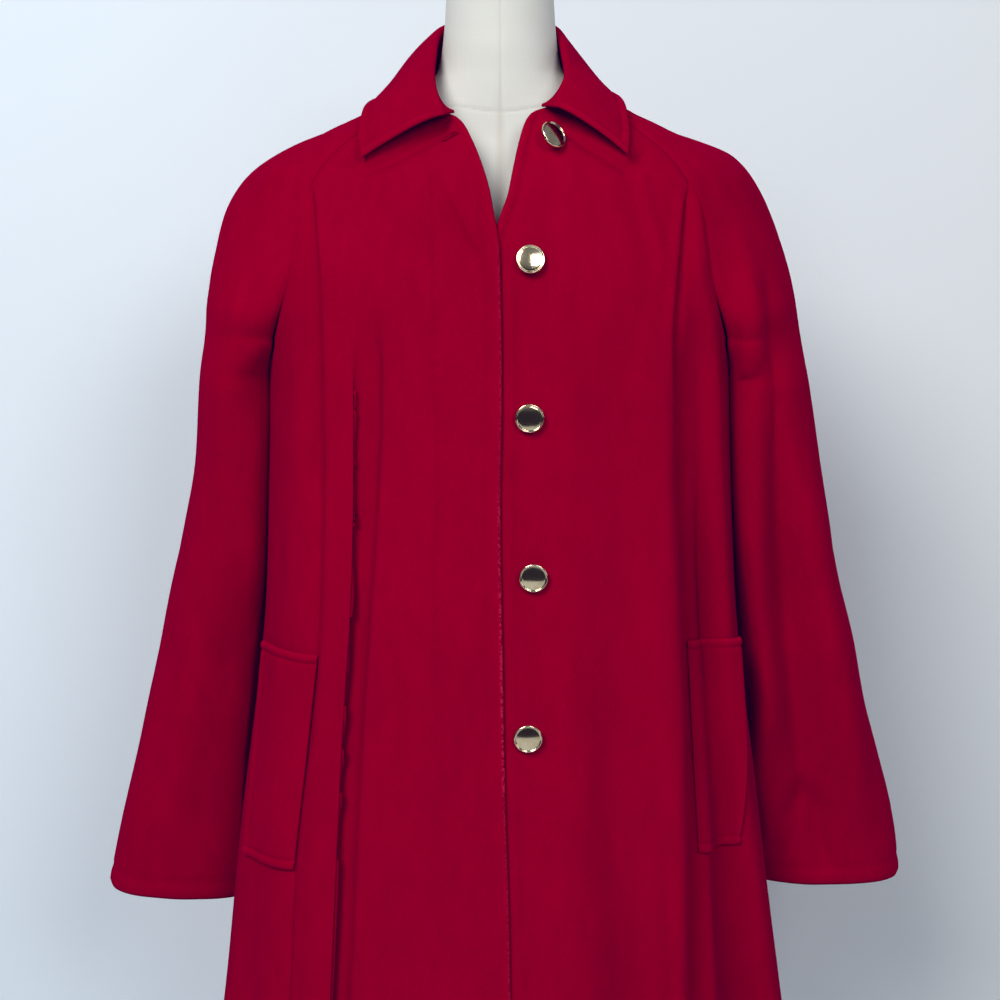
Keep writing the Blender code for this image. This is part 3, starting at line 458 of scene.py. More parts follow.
@dataclass(frozen=True)
class CoatBody:
    """The body of the coat as one surface of angle and height.

    The angle runs from 0 at the centre front to pi at the centre back.
    """

    hem: float = 0.345
    underarm: float = 1.175
    panel_top: float = 1.351
    neck_side: float = 1.43
    back_rise: float = 0.018
    lap_drop: float = 0.0052
    side_seam: float = float(np.radians(101.0))
    arm_crease: float = 1.219
    # Height, half width, widest at y, front y, back y, front and back roundness.
    sections: Array = table(
        (0.3, 0.297, -0.02, -0.222, 0.232, 2.15, 2.1),
        (0.6, 0.2588, -0.025, -0.188, 0.188, 2.15, 2.1),
        (0.8, 0.2335, -0.028, -0.17, 0.163, 2.2, 2.15),
        (1.0, 0.209, -0.03, -0.153, 0.138, 2.25, 2.2),
        (1.1, 0.204, -0.03, -0.146, 0.128, 2.3, 2.2),
        (1.2, 0.201, -0.03, -0.14, 0.122, 2.3, 2.2),
        (1.25, 0.211, -0.024, -0.136, 0.12, 2.25, 2.2),
        (1.3, 0.225, -0.012, -0.129, 0.116, 2.2, 2.2),
        (1.35, 0.219, 0.0, -0.117, 0.108, 2.2, 2.2),
        (1.38, 0.18, 0.0, -0.105, 0.099, 2.2, 2.2),
        (1.4, 0.144, 0.0, -0.0945, 0.09, 2.2, 2.2),
        (1.43, 0.086, 0.0, -0.076, 0.076, 2.2, 2.2),
        (1.455, 0.077, 0.0, -0.06, 0.064, 2.2, 2.2))
    # Seam lines and edges as height and x.
    seam_right: Array = table(
        (0.3, 0.205), (0.669, 0.1825), (0.778, 0.176), (0.958, 0.154), (1.105, 0.149),
        (1.232, 0.15), (1.351, 0.1575))
    seam_left: Array = table(
        (0.3, 0.178), (0.678, 0.164), (0.796, 0.161), (0.929, 0.156), (1.043, 0.15),
        (1.108, 0.146), (1.213, 0.146), (1.3, 0.152), (1.351, 0.1575))
    front_raglan: Array = table(
        (1.219, 0.194), (1.246, 0.185), (1.274, 0.1775), (1.295, 0.1735), (1.316, 0.169),
        (1.338, 0.163), (1.351, 0.1575), (1.374, 0.142), (1.39, 0.124), (1.412, 0.096),
        (1.43, 0.074))
    back_raglan: Array = table(
        (1.219, 0.183), (1.26, 0.173), (1.3, 0.162), (1.34, 0.147), (1.38, 0.122),
        (1.415, 0.091), (1.448, 0.064))
    edge_right: Array = table(
        (0.3, 0.016), (0.678, 0.0091), (0.75, 0.0078), (0.855, 0.0044), (0.934, 0.003),
        (1.09, 0.0008), (1.172, 0.002), (1.294, 0.0), (1.3268, -0.0049), (1.347, -0.009),
        (1.365, -0.0147), (1.3855, -0.023), (1.3985, -0.03), (1.404, -0.036))
    edge_left: Array = table(
        (0.3, -0.004), (0.678, -0.01), (0.9, -0.013), (1.172, -0.0145),
        (1.29, -0.01), (1.3138, -0.003), (1.3268, 0.0015), (1.338, 0.0056),
        (1.3593, 0.01), (1.384, 0.0156), (1.3996, 0.0205), (1.4062, 0.025),
        (1.4085, 0.03))
    # Valley of the crisp fold on the right front, and of the soft one on the left front.
    fold_right: Array = table(
        (0.3, 0.16), (0.678, 0.1425), (0.886, 0.132), (1.01, 0.123), (1.108, 0.117),
        (1.213, 0.113), (1.3, 0.108), (1.43, 0.058))
    fold_left: Array = table(
        (0.3, 0.118), (0.678, 0.1), (0.9, 0.094), (1.1, 0.088), (1.3, 0.08),
        (1.43, 0.052))
    # Side, degrees from the front, half width in degrees, depth at the hem, height of its start.
    flutes: tuple[tuple[float, ...], ...] = (
        (-1, 64.0, 9.0, 0.012, 1.0), (1, 66.0, 9.0, 0.013, 1.02),
        (-1, 88.0, 9.0, 0.003, 0.95), (1, 87.0, 9.0, -0.006, 0.95),
        (-1, 112.0, 11.0, 0.016, 0.98), (1, 110.0, 11.0, 0.015, 1.0),
        (-1, 143.0, 12.0, 0.02, 1.06), (1, 146.0, 12.0, 0.018, 1.03),
        (-1, 172.0, 9.0, -0.008, 1.0), (1, 169.0, 9.0, -0.007, 1.0),
        (-1, 26.0, 9.0, -0.003, 0.95))

    def section(self, z: Array) -> list[Array]:
        """Half width, widest y, front y, back y and both roundnesses at a height."""
        return [pchip(self.sections, column, z) for column in range(1, 7)]

    def angle_at(self, x: Array, z: Array) -> Array:
        """Angle on the front half whose plain section passes x.

        Args:
            x: Distances from the middle plane, with their sign.
            z: Heights.

        Returns:
            Angles.
        """
        half, _, _, _, power, _ = self.section(z)
        share = np.clip(np.abs(x) / half, 0.0, 1.0)
        return np.sign(x) * np.arcsin(share ** (power / 2.0))

    def back_angle_at(self, x: Array, z: Array) -> Array:
        """Angle on the back half, on the wearer's left.

        Args:
            x: Distances from the middle plane.
            z: Heights.

        Returns:
            Angles.
        """
        half, _, _, _, _, power = self.section(z)
        share = np.clip(np.abs(x) / half, 0.0, 1.0)
        return np.pi - np.arcsin(share ** (power / 2.0))

    def plain_x(self, angle: Array, z: Array) -> Array:
        """The x of the plain section at an angle.

        Args:
            angle: Angles.
            z: Heights.

        Returns:
            The x of each point.
        """
        half, _, _, _, front, back = self.section(z)
        power = np.where(np.abs(angle) <= np.pi / 2, front, back)
        return np.sign(angle) * half * np.clip(np.sin(np.abs(angle)), 0, 1) ** (2.0 / power)

    def front_fold(self, x: Array, z: Array) -> Array:
        """Push outward of the front folds: hills and troughs across, set by height.

        Args:
            x: Plain x of the points.
            z: Heights.

        Returns:
            Height to move out by.
        """
        fold = np.where(x < 0, pchip(self.fold_right, 1, z), pchip(self.seam_left, 1, z) - 0.002)
        s = np.abs(x) - fold
        grow = 1.0 - smooth(0.95, 1.27, z) * 0.55
        fade = 1.0 - smooth(1.16, 1.275, z)
        crisp = grow * fade
        right = 0.0095 * bump(s + 0.015, 0.014) - 0.016 * bump(s - 0.006, 0.011)
        left = 0.009 * bump(s + 0.018, 0.017) - 0.015 * bump(s - 0.012, 0.013)
        soft = -0.0065 * bump(x - pchip(self.fold_left, 1, z), 0.022)
        soft = soft * (1.0 - smooth(0.8, 1.12, z))
        seam = -0.002 * bump(x + pchip(self.seam_right, 1, z), 0.012)
        seam = seam * (1.0 - smooth(1.15, 1.33, z))
        return np.where(x < 0, right * crisp + seam, left * crisp + soft)

    def point(self, angle: Array, z: Array, lapped: bool = False) -> Array:
        """Points of the surface: a rounded oval, pushed along its normal by folds and flutes.

        Args:
            angle: Angle from the centre front.
            z: Height.
            lapped: True for the left front, which lies under the right one.

        Returns:
            Points.
        """
        angle = np.asarray(angle, float)
        z = np.asarray(z, float)
        half, mid, front, back, round_front, round_back = self.section(z)
        ahead = np.abs(angle) <= np.pi / 2
        power = np.where(ahead, round_front, round_back)
        depth = np.where(ahead, mid - front, back - mid)
        cosine = np.cos(angle)
        x0 = self.plain_x(angle, z)
        y0 = mid - np.sign(cosine) * depth * np.abs(cosine) ** (2.0 / power)
        nx = np.sign(angle) * np.abs(x0 / half) ** (power - 1.0) / half
        ny = np.sign(y0 - mid) * np.abs((y0 - mid) / depth) ** (power - 1.0) / depth
        length = np.hypot(nx, ny) + 1e-9
        nx = nx / length
        ny = ny / length
        out = np.where(ahead, self.front_fold(x0, z), 0.0)
        side = np.sign(angle)
        degrees = np.degrees(np.abs(angle))
        for flute_side, place, width, deep, start in self.flutes:
            share = smooth(0.0, 1.0, (start - z) / (start - self.hem))
            on = (side == flute_side) | (place > 165.0)
            out = out - np.where(on, bump(degrees - place, width), 0.0) * deep * share
        if lapped:
            lap = smooth(0.06, 0.026, x0) * (x0 > -0.2) * (np.abs(angle) < 1.0)
            out = out - lap * self.lap_drop * (1.0 - smooth(1.31, 1.35, z) * 0.6)
        return np.stack([x0 + nx * out, y0 + ny * out, z + 0.0 * angle], axis=-1)

    def normal(self, angle: Array, z: Array, lapped: bool = False) -> Array:
        """Outward unit normals, by small steps of the surface either way.

        Args:
            angle: Angles.
            z: Heights.
            lapped: True for the left front.

        Returns:
            Normals.
        """
        a = self.point(angle + 1e-3, z, lapped) - self.point(angle - 1e-3, z, lapped)
        b = self.point(angle, z + 1e-3, lapped) - self.point(angle, z - 1e-3, lapped)
        n = unit(np.cross(a, b))
        flat = np.stack([np.sin(angle), -np.cos(angle), 0 * angle], axis=-1)
        return np.where(((n * flat).sum(axis=-1) < 0)[..., None], -n, n)

    def rise(self, level: Array) -> Array:
        """Height that the back gains over the front towards the neck."""
        return self.back_rise * smooth(1.25, self.neck_side, level)

    def dive(self, angle: Array, level: Array) -> Array:
        """Angle of a raglan seam between the side seam and its place at the arm's crease."""
        share = smooth(self.underarm, self.arm_crease, level) ** 0.9
        return self.side_seam + (angle - self.side_seam) * share

    def front_raglan_angle(self, side: int, level: Array) -> Array:
        """Angle of the front raglan seam, which dives under the arm below the crease.

        Args:
            side: Sign of the wearer's side.
            level: Heights.

        Returns:
            Angles.
        """
        low = self.dive(self.angle_at(self.front_raglan[0, 1], self.arm_crease), level)
        high_x = pchip(self.front_raglan, 1, np.maximum(level, self.arm_crease))
        high = np.abs(self.angle_at(high_x, level))
        return side * np.where(level < self.arm_crease, low, high)

    def back_raglan_angle(self, side: int, level: Array, z: Array) -> Array:
        """Angle of the back raglan seam.

        Args:
            side: Sign of the wearer's side.
            level: Heights before the back's rise.
            z: Heights.

        Returns:
            Angles.
        """
        low = self.dive(self.back_angle_at(self.back_raglan[0, 1], self.arm_crease), level)
        high_x = pchip(self.back_raglan, 1, np.maximum(z, self.arm_crease))
        return side * np.where(level < self.arm_crease, low, self.back_angle_at(high_x, z))

    def outer_front_angle(self, side: int, level: Array) -> Array:
        """Outer edge of a centre front: the panel seam, then the raglan.

        Args:
            side: Sign of the wearer's side.
            level: Heights.

        Returns:
            Angles.
        """
        table = self.seam_right if side < 0 else self.seam_left
        seam = np.abs(self.angle_at(pchip(table, 1, level), level))
        raglan = np.abs(self.front_raglan_angle(side, np.maximum(level, self.panel_top)))
        return side * np.where(level < self.panel_top - 1e-6, seam, raglan)

    def front_domain(self, side: int, level: Array, inner: Array,
                     outer: Array) -> tuple[Array, Array]:
        """Angles and heights of a centre front, from its edge to the fold and on to the seam.

        Args:
            side: Sign of the wearer's side.
            level: Heights of the rows.
            inner: Places from the edge to the fold.
            outer: Places from the fold to the seam.

        Returns:
            Angles and heights.
        """
        table = self.edge_right if side < 0 else self.edge_left
        fold_table = self.fold_right if side < 0 else self.fold_left
        top = table[-1, 0]
        pressed = 1.2 + (level - 1.2) * (top - 1.2) / (self.neck_side - 1.2)
        edge_z = np.where(level < 1.2, level, pressed)
        edge = self.angle_at(pchip(table, 1, edge_z), edge_z)
        last = self.outer_front_angle(side, level)
        fold_z = edge_z + (level - edge_z) * 0.6
        fold = side * np.abs(self.angle_at(pchip(fold_table, 1, fold_z), fold_z))
        first = edge[:, None] + (fold - edge)[:, None] * inner
        second = fold[:, None] + (last - fold)[:, None] * outer
        z_first = edge_z[:, None] + (fold_z - edge_z)[:, None] * inner
        z_second = fold_z[:, None] + (level - fold_z)[:, None] * outer
        return np.concatenate([first, second], axis=1), np.concatenate([z_first, z_second], axis=1)


@dataclass(frozen=True)
class SleeveForm:
    """One raglan sleeve as a surface of share and level.

    The share runs from 0 at the front raglan over 0.5 at the outer line to 1 at the back.
    """

    body: CoatBody
    side: Side
    air: float = 0.0042
    cuff: float = 0.7
    # Height, inner x, centre y, front y, back y.
    sections: Array = table(
        (0.69, 0.24, 0.028, -0.006, 0.062), (0.76, 0.228, 0.032, -0.016, 0.076),
        (0.85, 0.212, 0.036, -0.032, 0.092), (0.95, 0.198, 0.037, -0.048, 0.101),
        (1.05, 0.188, 0.034, -0.062, 0.104), (1.13, 0.187, 0.028, -0.073, 0.103),
        (1.175, 0.192, 0.02, -0.079, 0.1))
    # Height, x on the right, x on the left, y of the outer line.
    outline: Array = table(
        (0.69, 0.3735, 0.381, 0.03), (0.732, 0.366, 0.3772, 0.033),
        (0.762, 0.36, 0.3722, 0.036), (0.82, 0.346, 0.3578, 0.04),
        (0.878, 0.3328, 0.342, 0.044), (0.936, 0.3178, 0.33, 0.046),
        (0.9925, 0.3045, 0.3145, 0.045), (1.049, 0.29, 0.302, 0.042),
        (1.105, 0.2775, 0.29, 0.036), (1.16, 0.271, 0.281, 0.03),
        (1.214, 0.2655, 0.271, 0.024), (1.268, 0.2595, 0.2605, 0.02),
        (1.295, 0.2535, 0.2525, 0.017), (1.322, 0.2465, 0.2425, 0.015),
        (1.348, 0.232, 0.229, 0.013), (1.375, 0.201, 0.205, 0.012),
        (1.401, 0.1375, 0.1375, 0.01), (1.41, 0.118, 0.1175, 0.008),
        (1.4245, 0.095, 0.095, 0.006), (1.439, 0.079, 0.079, 0.004))
    # Height and share of the overarm seam.
    overarm: Array = table(
        (0.69, 0.52), (0.95, 0.51), (1.05, 0.48), (1.12, 0.45), (1.18, 0.42), (1.23, 0.4),
        (1.29, 0.385), (1.348, 0.4), (1.4, 0.46), (1.43, 0.5))

    @property
    def cuff_tilt(self) -> tuple[float, float]:
        """Height that the cuff gains at the inner and at the outer line."""
        return (-0.013, -0.003) if self.side is Side.RIGHT else (0.006, 0.008)

    def tangent(self, angle: Array, z: Array, way: float) -> Array:
        """Level direction along the body, away from its centre, on the wearer's left.

        Args:
            angle: Angles on the body.
            z: Heights.
            way: Plus for the front, minus for the back.

        Returns:
            Directions.
        """
        step = 0.004 * way * self.side.value
        moved = self.body.point(angle + step, z) - self.body.point(angle - step, z)
        return unit(moved * [self.side.value, 1.0, 0.0])

    def point(self, share: Array, level: Array) -> Array:
        """Points: two cubic arcs at each level, from the seams round to the outer line.

        Args:
            share: Place round the sleeve.
            level: Height before the cuff's tilt and the back's rise.

        Returns:
            Points.
        """
        side = self.side.value
        body = self.body
        under = body.underarm
        share = np.asarray(share, float)
        level = np.asarray(level, float) + 0.0 * share
        z = level + body.rise(level) * smooth(0.0, 1.0, share)
        joined = level >= under
        low = np.minimum(level, under)
        inner_x, inner_y, front_y, back_y = [pchip(self.sections, c, low) for c in range(1, 5)]
        outer_x = pchip(self.outline, 1 if side < 0 else 2, z)
        outer_y = pchip(self.outline, 3, z)
        seam_low = body.point(side * body.side_seam + 0.0 * level, under + 0.0 * level)
        high_z = level + body.rise(level)
        angle_f = body.front_raglan_angle(side, level)
        angle_b = body.back_raglan_angle(side, level, high_z)
        start_f = body.point(angle_f, level) * [side, 1, 1]
        start_b = body.point(angle_b, high_z) * [side, 1, 1]
        drop = smooth(under, under - 0.07, level)[..., None]
        closed = np.stack([inner_x, inner_y, level], axis=-1)
        joint = np.stack([np.abs(seam_low[..., 0]), seam_low[..., 1], level], axis=-1)
        closed = joint * (1.0 - drop) + closed * drop
        a_f = np.where(joined[..., None], start_f, closed)
        a_b = np.where(joined[..., None], start_b, closed)
        open_up = smooth(under, 1.33, level)
        middle = np.stack([outer_x, outer_y, z], axis=-1)
        reach_f = (a_f[..., 1] - front_y) / 0.75
        reach_b = (back_y - a_b[..., 1]) / 0.75
        span_f = np.linalg.norm((middle - a_f)[..., :2], axis=-1)
        span_b = np.linalg.norm((middle - a_b)[..., :2], axis=-1)
        turn = smooth(under, 1.315, level)
        steer = turn[..., None]
        go_f = unit([0.03, -1.0, 0.0] * (1 - steer) + self.tangent(angle_f, level, 1.0) * steer)
        go_b = unit([0.03, 1.0, 0.0] * (1 - steer) + self.tangent(angle_b, high_z, -1.0) * steer)
        len_f = np.maximum(reach_f, 0.01) * (1 - turn) + 0.38 * span_f * turn
        len_b = np.maximum(reach_b, 0.01) * (1 - turn) + 0.38 * span_b * turn
        hold_f = (outer_y - front_y) / 0.75 * (1 - open_up)
        hold_f = hold_f + 0.52 * (outer_y - a_f[..., 1]) * open_up
        hold_b = (back_y - outer_y) / 0.75 * (1 - open_up)
        hold_b = hold_b + 0.52 * (a_b[..., 1] - outer_y) * open_up
        zero = 0.0 * level
        c1f = a_f + go_f * len_f[..., None]
        c2f = middle + np.stack([zero, -hold_f, zero], axis=-1)
        c1b = a_b + go_b * len_b[..., None]
        c2b = middle + np.stack([zero, hold_b, zero], axis=-1)
        front = bezier(a_f, c1f, c2f, middle, np.clip(share * 2.0, 0.0, 1.0))
        back = bezier(a_b, c1b, c2b, middle, np.clip(2.0 - share * 2.0, 0.0, 1.0))
        points = np.where((share <= 0.5)[..., None], front, back)
        inner_lift, outer_lift = self.cuff_tilt
        across = 1.0 - np.abs(2.0 * share - 1.0)
        lift = inner_lift + (outer_lift - inner_lift) * across ** 0.7
        points[..., 2] = z + lift * smooth(1.02, 0.7, level)
        return self.clear(points, share, level) * [side, 1, 1]

    def clear(self, points: Array, share: Array, level: Array) -> Array:
        """Keeps the sleeve just outside the body: scales level sections out where too near.

        Args:
            points: Points on the wearer's left.
            share: Their places round the sleeve.
            level: Their levels.

        Returns:
            The moved points.
        """
        half, mid, front, back, round_front, round_back = self.body.section(points[..., 2])
        dx = points[..., 0]
        dy = points[..., 1] - mid
        ahead = dy < 0
        depth = np.where(ahead, mid - front, back - mid)
        power = np.where(ahead, round_front, round_back)
        ratio = (np.abs(dx / half) ** power + np.abs(dy / depth) ** power) ** (1.0 / power)
        edge = np.minimum(share, 1.0 - share)
        under = self.body.underarm
        free = smooth(under + 0.001, under - 0.014, level)
        air = self.air * np.maximum(free, smooth(0.0, 0.1, edge))
        air = air * (1.0 - smooth(1.23, 1.3, level))
        scale = np.maximum((1.0 + air / (np.hypot(dx, dy) + 1e-9)) / ratio, 1.0)
        points[..., 0] = dx * scale
        points[..., 1] = dy * scale + mid
        return points

    def normal(self, share: Array, level: Array) -> Array:
        """Outward unit normals, by small steps of the surface either way.

        Args:
            share: Places round the sleeve.
            level: Levels.

        Returns:
            Normals.
        """
        s = np.clip(share, 0.002, 0.998)
        a = self.point(s + 1.5e-3, level) - self.point(s - 1.5e-3, level)
        b = self.point(s, level + 1e-3) - self.point(s, level - 1e-3)
        return unit(np.cross(a, b)) * self.side.value


class Graph:
    """Adds and links the nodes of one material or node group."""

    def __init__(self, tree: bpy.types.NodeTree) -> None:
        """Keeps the tree to add to."""
        self.tree = tree

    def add(self, kind: str, inputs: dict | None = None, **settings: object) -> Node:
        """Adds a node.

        Args:
            kind: Node type.
            inputs: Values or output sockets for its inputs, by name or number.
            **settings: Properties of the node.

        Returns:
            The node.
        """
        node = self.tree.nodes.new(kind)
        for key, value in settings.items():
            setattr(node, key, value)
        for key, value in (inputs or {}).items():
            socket = node.inputs[key]
            if isinstance(value, Socket):
                self.tree.links.new(value, socket)
            else:
                socket.default_value = value
        return node

    def math(self, operation: str, *values: object) -> Socket:
        """Adds a Math node and returns its result."""
        node = self.add("ShaderNodeMath", dict(enumerate(values)), operation=operation)
        return node.outputs[0]

    def mix(self, factor: object, a: object, b: object) -> Socket:
        """Adds a colour mix and returns its result."""
        node = self.add("ShaderNodeMix", {0: factor, 6: a, 7: b}, data_type="RGBA")
        return node.outputs[2]

    def blend(self, first: object, share: float, second: object,
              rest: float) -> Socket:
        """Sum of two values, each times its own share."""
        return self.math("ADD", self.math("MULTIPLY", first, share),
                         self.math("MULTIPLY", second, rest))

    def place(self) -> Socket:
        """The object's own coordinates."""
        return self.add("ShaderNodeTexCoord").outputs["Object"]

    def attribute(self, name: str) -> Socket:
        """A number kept in the mesh under a name."""
        return self.add("ShaderNodeAttribute", attribute_name=name).outputs["Fac"]

    def noise(self, place: object, scale: object, detail: float,
              rough: float = 0.5) -> Socket:
        """Noise at a place, from 0 to 1."""
        return self.add("ShaderNodeTexNoise", {"Vector": place, "Scale": scale, "Detail": detail,
                                               "Roughness": rough}).outputs["Fac"]

    def spread(self, value: object, span: tuple[float, float] = (0.0, 1.0),
               result: tuple[float, float] = (0.0, 1.0)) -> Socket:
        """Maps one span of values onto another."""
        return self.add("ShaderNodeMapRange", {
            "Value": value, "From Min": span[0], "From Max": span[1], "To Min": result[0],
            "To Max": result[1]}).outputs[0]

    def surface(self, shader: Node, colour: object, rough: object, height: object,
                strength: float, distance: float) -> None:
        """Links a shader's colour, roughness and bump.

        Args:
            shader: The material's shader.
            colour: Colour to link.
            rough: Roughness to link.
            height: Height of the bump.
            strength: How much the bump shows.
            distance: Its depth in metres.
        """
        relief = self.add("ShaderNodeBump", {"Height": height, "Strength": strength,
                                             "Distance": distance}).outputs[0]
        for name, value in (("Base Color", colour), ("Roughness", rough), ("Normal", relief)):
            self.tree.links.new(value, shader.inputs[name])


class Group(Enum):
    """Node groups that several materials share."""

    NAP = "cloth_nap"
    MOTTLE = "fine_mottle"


def open_group(group: Group, inputs: dict[str, float],
               outputs: tuple[str, ...]) -> tuple[Graph, Node, Node]:
    """Starts a node group with named sockets.

    Args:
        group: Which group.
        inputs: Its numbers and their defaults.
        outputs: Names of the values that it gives.

    Returns:
        The graph with the group's inlet and outlet nodes.
    """
    tree = bpy.data.node_groups.new(group.value, "ShaderNodeTree")
    for name, value in inputs.items():
        socket = tree.interface.new_socket(name, in_out="INPUT", socket_type="NodeSocketFloat")
        socket.default_value = value
    for name in outputs:
        tree.interface.new_socket(name, in_out="OUTPUT", socket_type="NodeSocketFloat")
    graph = Graph(tree)
    return graph, graph.add("NodeGroupInput"), graph.add("NodeGroupOutput")


def nap_group() -> bpy.types.NodeTree:
    """Builds the nap of a cloth: fibres that lie downwards, over soft matted patches.

    Returns:
        A group with the inputs Fibre and Patch (scales), and the outputs Shade and Height.
    """
    graph, inlet, outlet = open_group(Group.NAP, {"Fibre": 900.0, "Patch": 70.0},
                                      ("Shade", "Height"))
    lean = graph.add("ShaderNodeMapping", {"Vector": graph.place(), "Scale": (1.0, 1.0, 0.35)})
    fibre = graph.noise(lean.outputs[0], inlet.outputs["Fibre"], 3.0, 0.6)
    patch = graph.noise(lean.outputs[0], inlet.outputs["Patch"], 4.0, 0.55)
    shade = graph.blend(fibre, 0.55, patch, 0.45)
    height = graph.blend(fibre, 0.75, patch, 0.25)
    graph.tree.links.new(shade, outlet.inputs["Shade"])
    graph.tree.links.new(height, outlet.inputs["Height"])
    return graph.tree


def mottle_group() -> bpy.types.NodeTree:
    """Builds a soft mottle: two sizes of noise, spread out to the full range.

    Returns:
        A group with the input Scale and the outputs Mask and Fine.
    """
    graph, inlet, outlet = open_group(Group.MOTTLE, {"Scale": 12.0}, ("Mask", "Fine"))
    place = graph.place()
    wide = graph.noise(place, inlet.outputs["Scale"], 3.0)
    fine = graph.noise(place, graph.math("MULTIPLY", inlet.outputs["Scale"], 14.0), 2.0)
    graph.tree.links.new(graph.spread(wide, (0.3, 0.7)), outlet.inputs["Mask"])
    graph.tree.links.new(fine, outlet.inputs["Fine"])
    return graph.tree


def blank(name: str) -> tuple[Material, Graph, Node]:
    """Makes an empty material and returns it with its graph and its shader.

    Args:
        name: Material name.

    Returns:
        The material, its graph and its shader.
    """
    material = bpy.data.materials.new(name)
    material.use_nodes = True
    return material, Graph(material.node_tree), material.node_tree.nodes["Principled BSDF"]


def place_group(graph: Graph, group: Group, inputs: dict) -> Node:
    """Puts a shared group into a material with its own values.

    Args:
        graph: Where to put it.
        group: Which group.
        inputs: Its numbers.

    Returns:
        The group node.
    """
    node = graph.add("ShaderNodeGroup", node_tree=bpy.data.node_groups[group.value])
    for key, value in inputs.items():
        node.inputs[key].default_value = value
    return node


@dataclass(frozen=True)
class WoolFinish:
    """Napped wool coating: a deep crimson whose fibres catch a cool light at a slant."""

    name: str = "crimson_wool"
    deep: Colour = (0.225, 0.0, 0.0085, 1.0)
    bright: Colour = (0.3, 0.0, 0.012, 1.0)
    rubbed: Colour = (0.39, 0.001, 0.019, 1.0)
    # Bright thread colour, also a painted highlight along the right front's edge.
    thread_and_highlight: Colour = (0.64, 0.02, 0.07, 1.0)

    def build(self) -> Material:
        """Builds the material: nap and mottle set its colour, height and roughness.

        Returns:
            The material.
        """
        material, graph, shader = blank(self.name)
        nap = place_group(graph, Group.NAP, {"Fibre": 900.0, "Patch": 75.0})
        mottle = place_group(graph, Group.MOTTLE, {"Scale": 9.0})
        shade = graph.spread(nap.outputs["Shade"], (0.35, 0.65))
        colour = graph.mix(graph.blend(shade, 0.65, mottle.outputs["Mask"], 0.35),
                           self.deep, self.bright)
        rub = graph.math("MULTIPLY", graph.attribute("rub"), 0.3)
        colour = graph.mix(rub, colour, self.rubbed)
        # Dashes of the thread colour along the right front's edge: the topstitch thread, and also a
        # painted highlight on that edge.
        dashes = graph.math("GREATER_THAN", graph.noise(graph.place(), 420.0, 1.0), 0.5)
        thread_and_highlight_mask = graph.math("MULTIPLY", graph.attribute("stitch_and_highlight"), dashes)
        colour = graph.mix(thread_and_highlight_mask, colour, self.thread_and_highlight)
        rough = graph.spread(nap.outputs["Shade"], (0.3, 0.7), (0.82, 0.97))
        graph.surface(shader, colour, rough, nap.outputs["Height"], 0.5, 0.0006)
        shader.inputs["Specular IOR Level"].default_value = 0.0
        shader.inputs["Sheen Weight"].default_value = 0.06
        shader.inputs["Sheen Roughness"].default_value = 0.55
        shader.inputs["Sheen Tint"].default_value = (0.9, 0.0, 0.22, 1.0)
        return material


@dataclass(frozen=True)
class MottledFinish:
    """Metal or paint whose tone follows a mottle, with fine marks in its gloss and relief."""

    name: str
    first: Colour
    second: Colour
    scale: float
    rough: tuple[float, float]
    strength: float
    distance: float
    metallic: float = 0.0

    def build(self) -> Material:
        """Builds the material: a mottle changes the tone and fine marks change the gloss.

        Returns:
            The material.
        """
        material, graph, shader = blank(self.name)
        mottle = place_group(graph, Group.MOTTLE, {"Scale": self.scale})
        colour = graph.mix(mottle.outputs["Mask"], self.first, self.second)
        fine = mottle.outputs["Fine"]
        graph.surface(shader, colour, graph.spread(fine, result=self.rough), fine,
                      self.strength, self.distance)
        shader.inputs["Metallic"].default_value = self.metallic
        return material


GILT = MottledFinish("polished_gilt", (0.93, 0.8, 0.56, 1.0), (0.78, 0.57, 0.3, 1.0),
                     160.0, (0.05, 0.17), 0.05, 0.0002, 1.0)
IRON = MottledFinish("painted_iron", (0.022, 0.022, 0.025, 1.0), (0.075, 0.073, 0.072, 1.0),
                     22.0, (0.32, 0.56), 0.2, 0.0004)


@dataclass(frozen=True)
class CanvasFinish:
    """Close cream canvas stretched over the dress form."""

    name: str = "form_canvas"
    pale: Colour = (0.68, 0.69, 0.65, 1.0)
    shaded: Colour = (0.58, 0.57, 0.52, 1.0)
    thread_pitch: float = 0.0011

    def build(self) -> Material:
        """Builds the material: two crossed waves make the weave, a mottle the faint soiling.

        Returns:
            The material.
        """
        material, graph, shader = blank(self.name)
        mottle = place_group(graph, Group.MOTTLE, {"Scale": 14.0})
        place = graph.place()
        beat = 2 * math.pi / (self.thread_pitch * 20.0)
        warp, weft = [graph.add("ShaderNodeTexWave", {"Vector": place, "Scale": beat},
                                bands_direction=way).outputs["Fac"] for way in "XZ"]
        weave = graph.math("MULTIPLY", warp, weft)
        tone = graph.blend(mottle.outputs["Mask"], 0.45, weave, 0.25)
        tone = graph.math("MAXIMUM", tone, graph.attribute("stitch_and_highlight"))
        colour = graph.mix(tone, self.pale, self.shaded)
        rough = graph.spread(weave, result=(0.72, 0.92))
        graph.surface(shader, colour, rough, weave, 0.35, 0.0003)
        shader.inputs["Specular IOR Level"].default_value = 0.25
        return material


@dataclass(frozen=True)
class WoodFinish:
    """Turned and varnished wood of the neck cap."""

    name: str = "turned_wood"
    pale: Colour = (0.42, 0.24, 0.17, 1.0)
    dark: Colour = (0.16, 0.08, 0.055, 1.0)

    def build(self) -> Material:
        """Builds the material: noise-bent rings give the grain.

        Returns:
            The material.
        """
        material, graph, shader = blank(self.name)
        mottle = place_group(graph, Group.MOTTLE, {"Scale": 40.0})
        rings = graph.add("ShaderNodeTexWave", {"Vector": graph.place(), "Scale": 30.0,
                                                "Distortion": 6.0, "Detail": 3.0},
                          bands_direction="Y").outputs["Fac"]
        tone = graph.blend(rings, 0.7, mottle.outputs["Mask"], 0.3)
        rough = graph.spread(mottle.outputs["Fine"], result=(0.28, 0.48))
        graph.surface(shader, graph.mix(tone, self.pale, self.dark), rough, rings, 0.12, 0.0003)
        return material


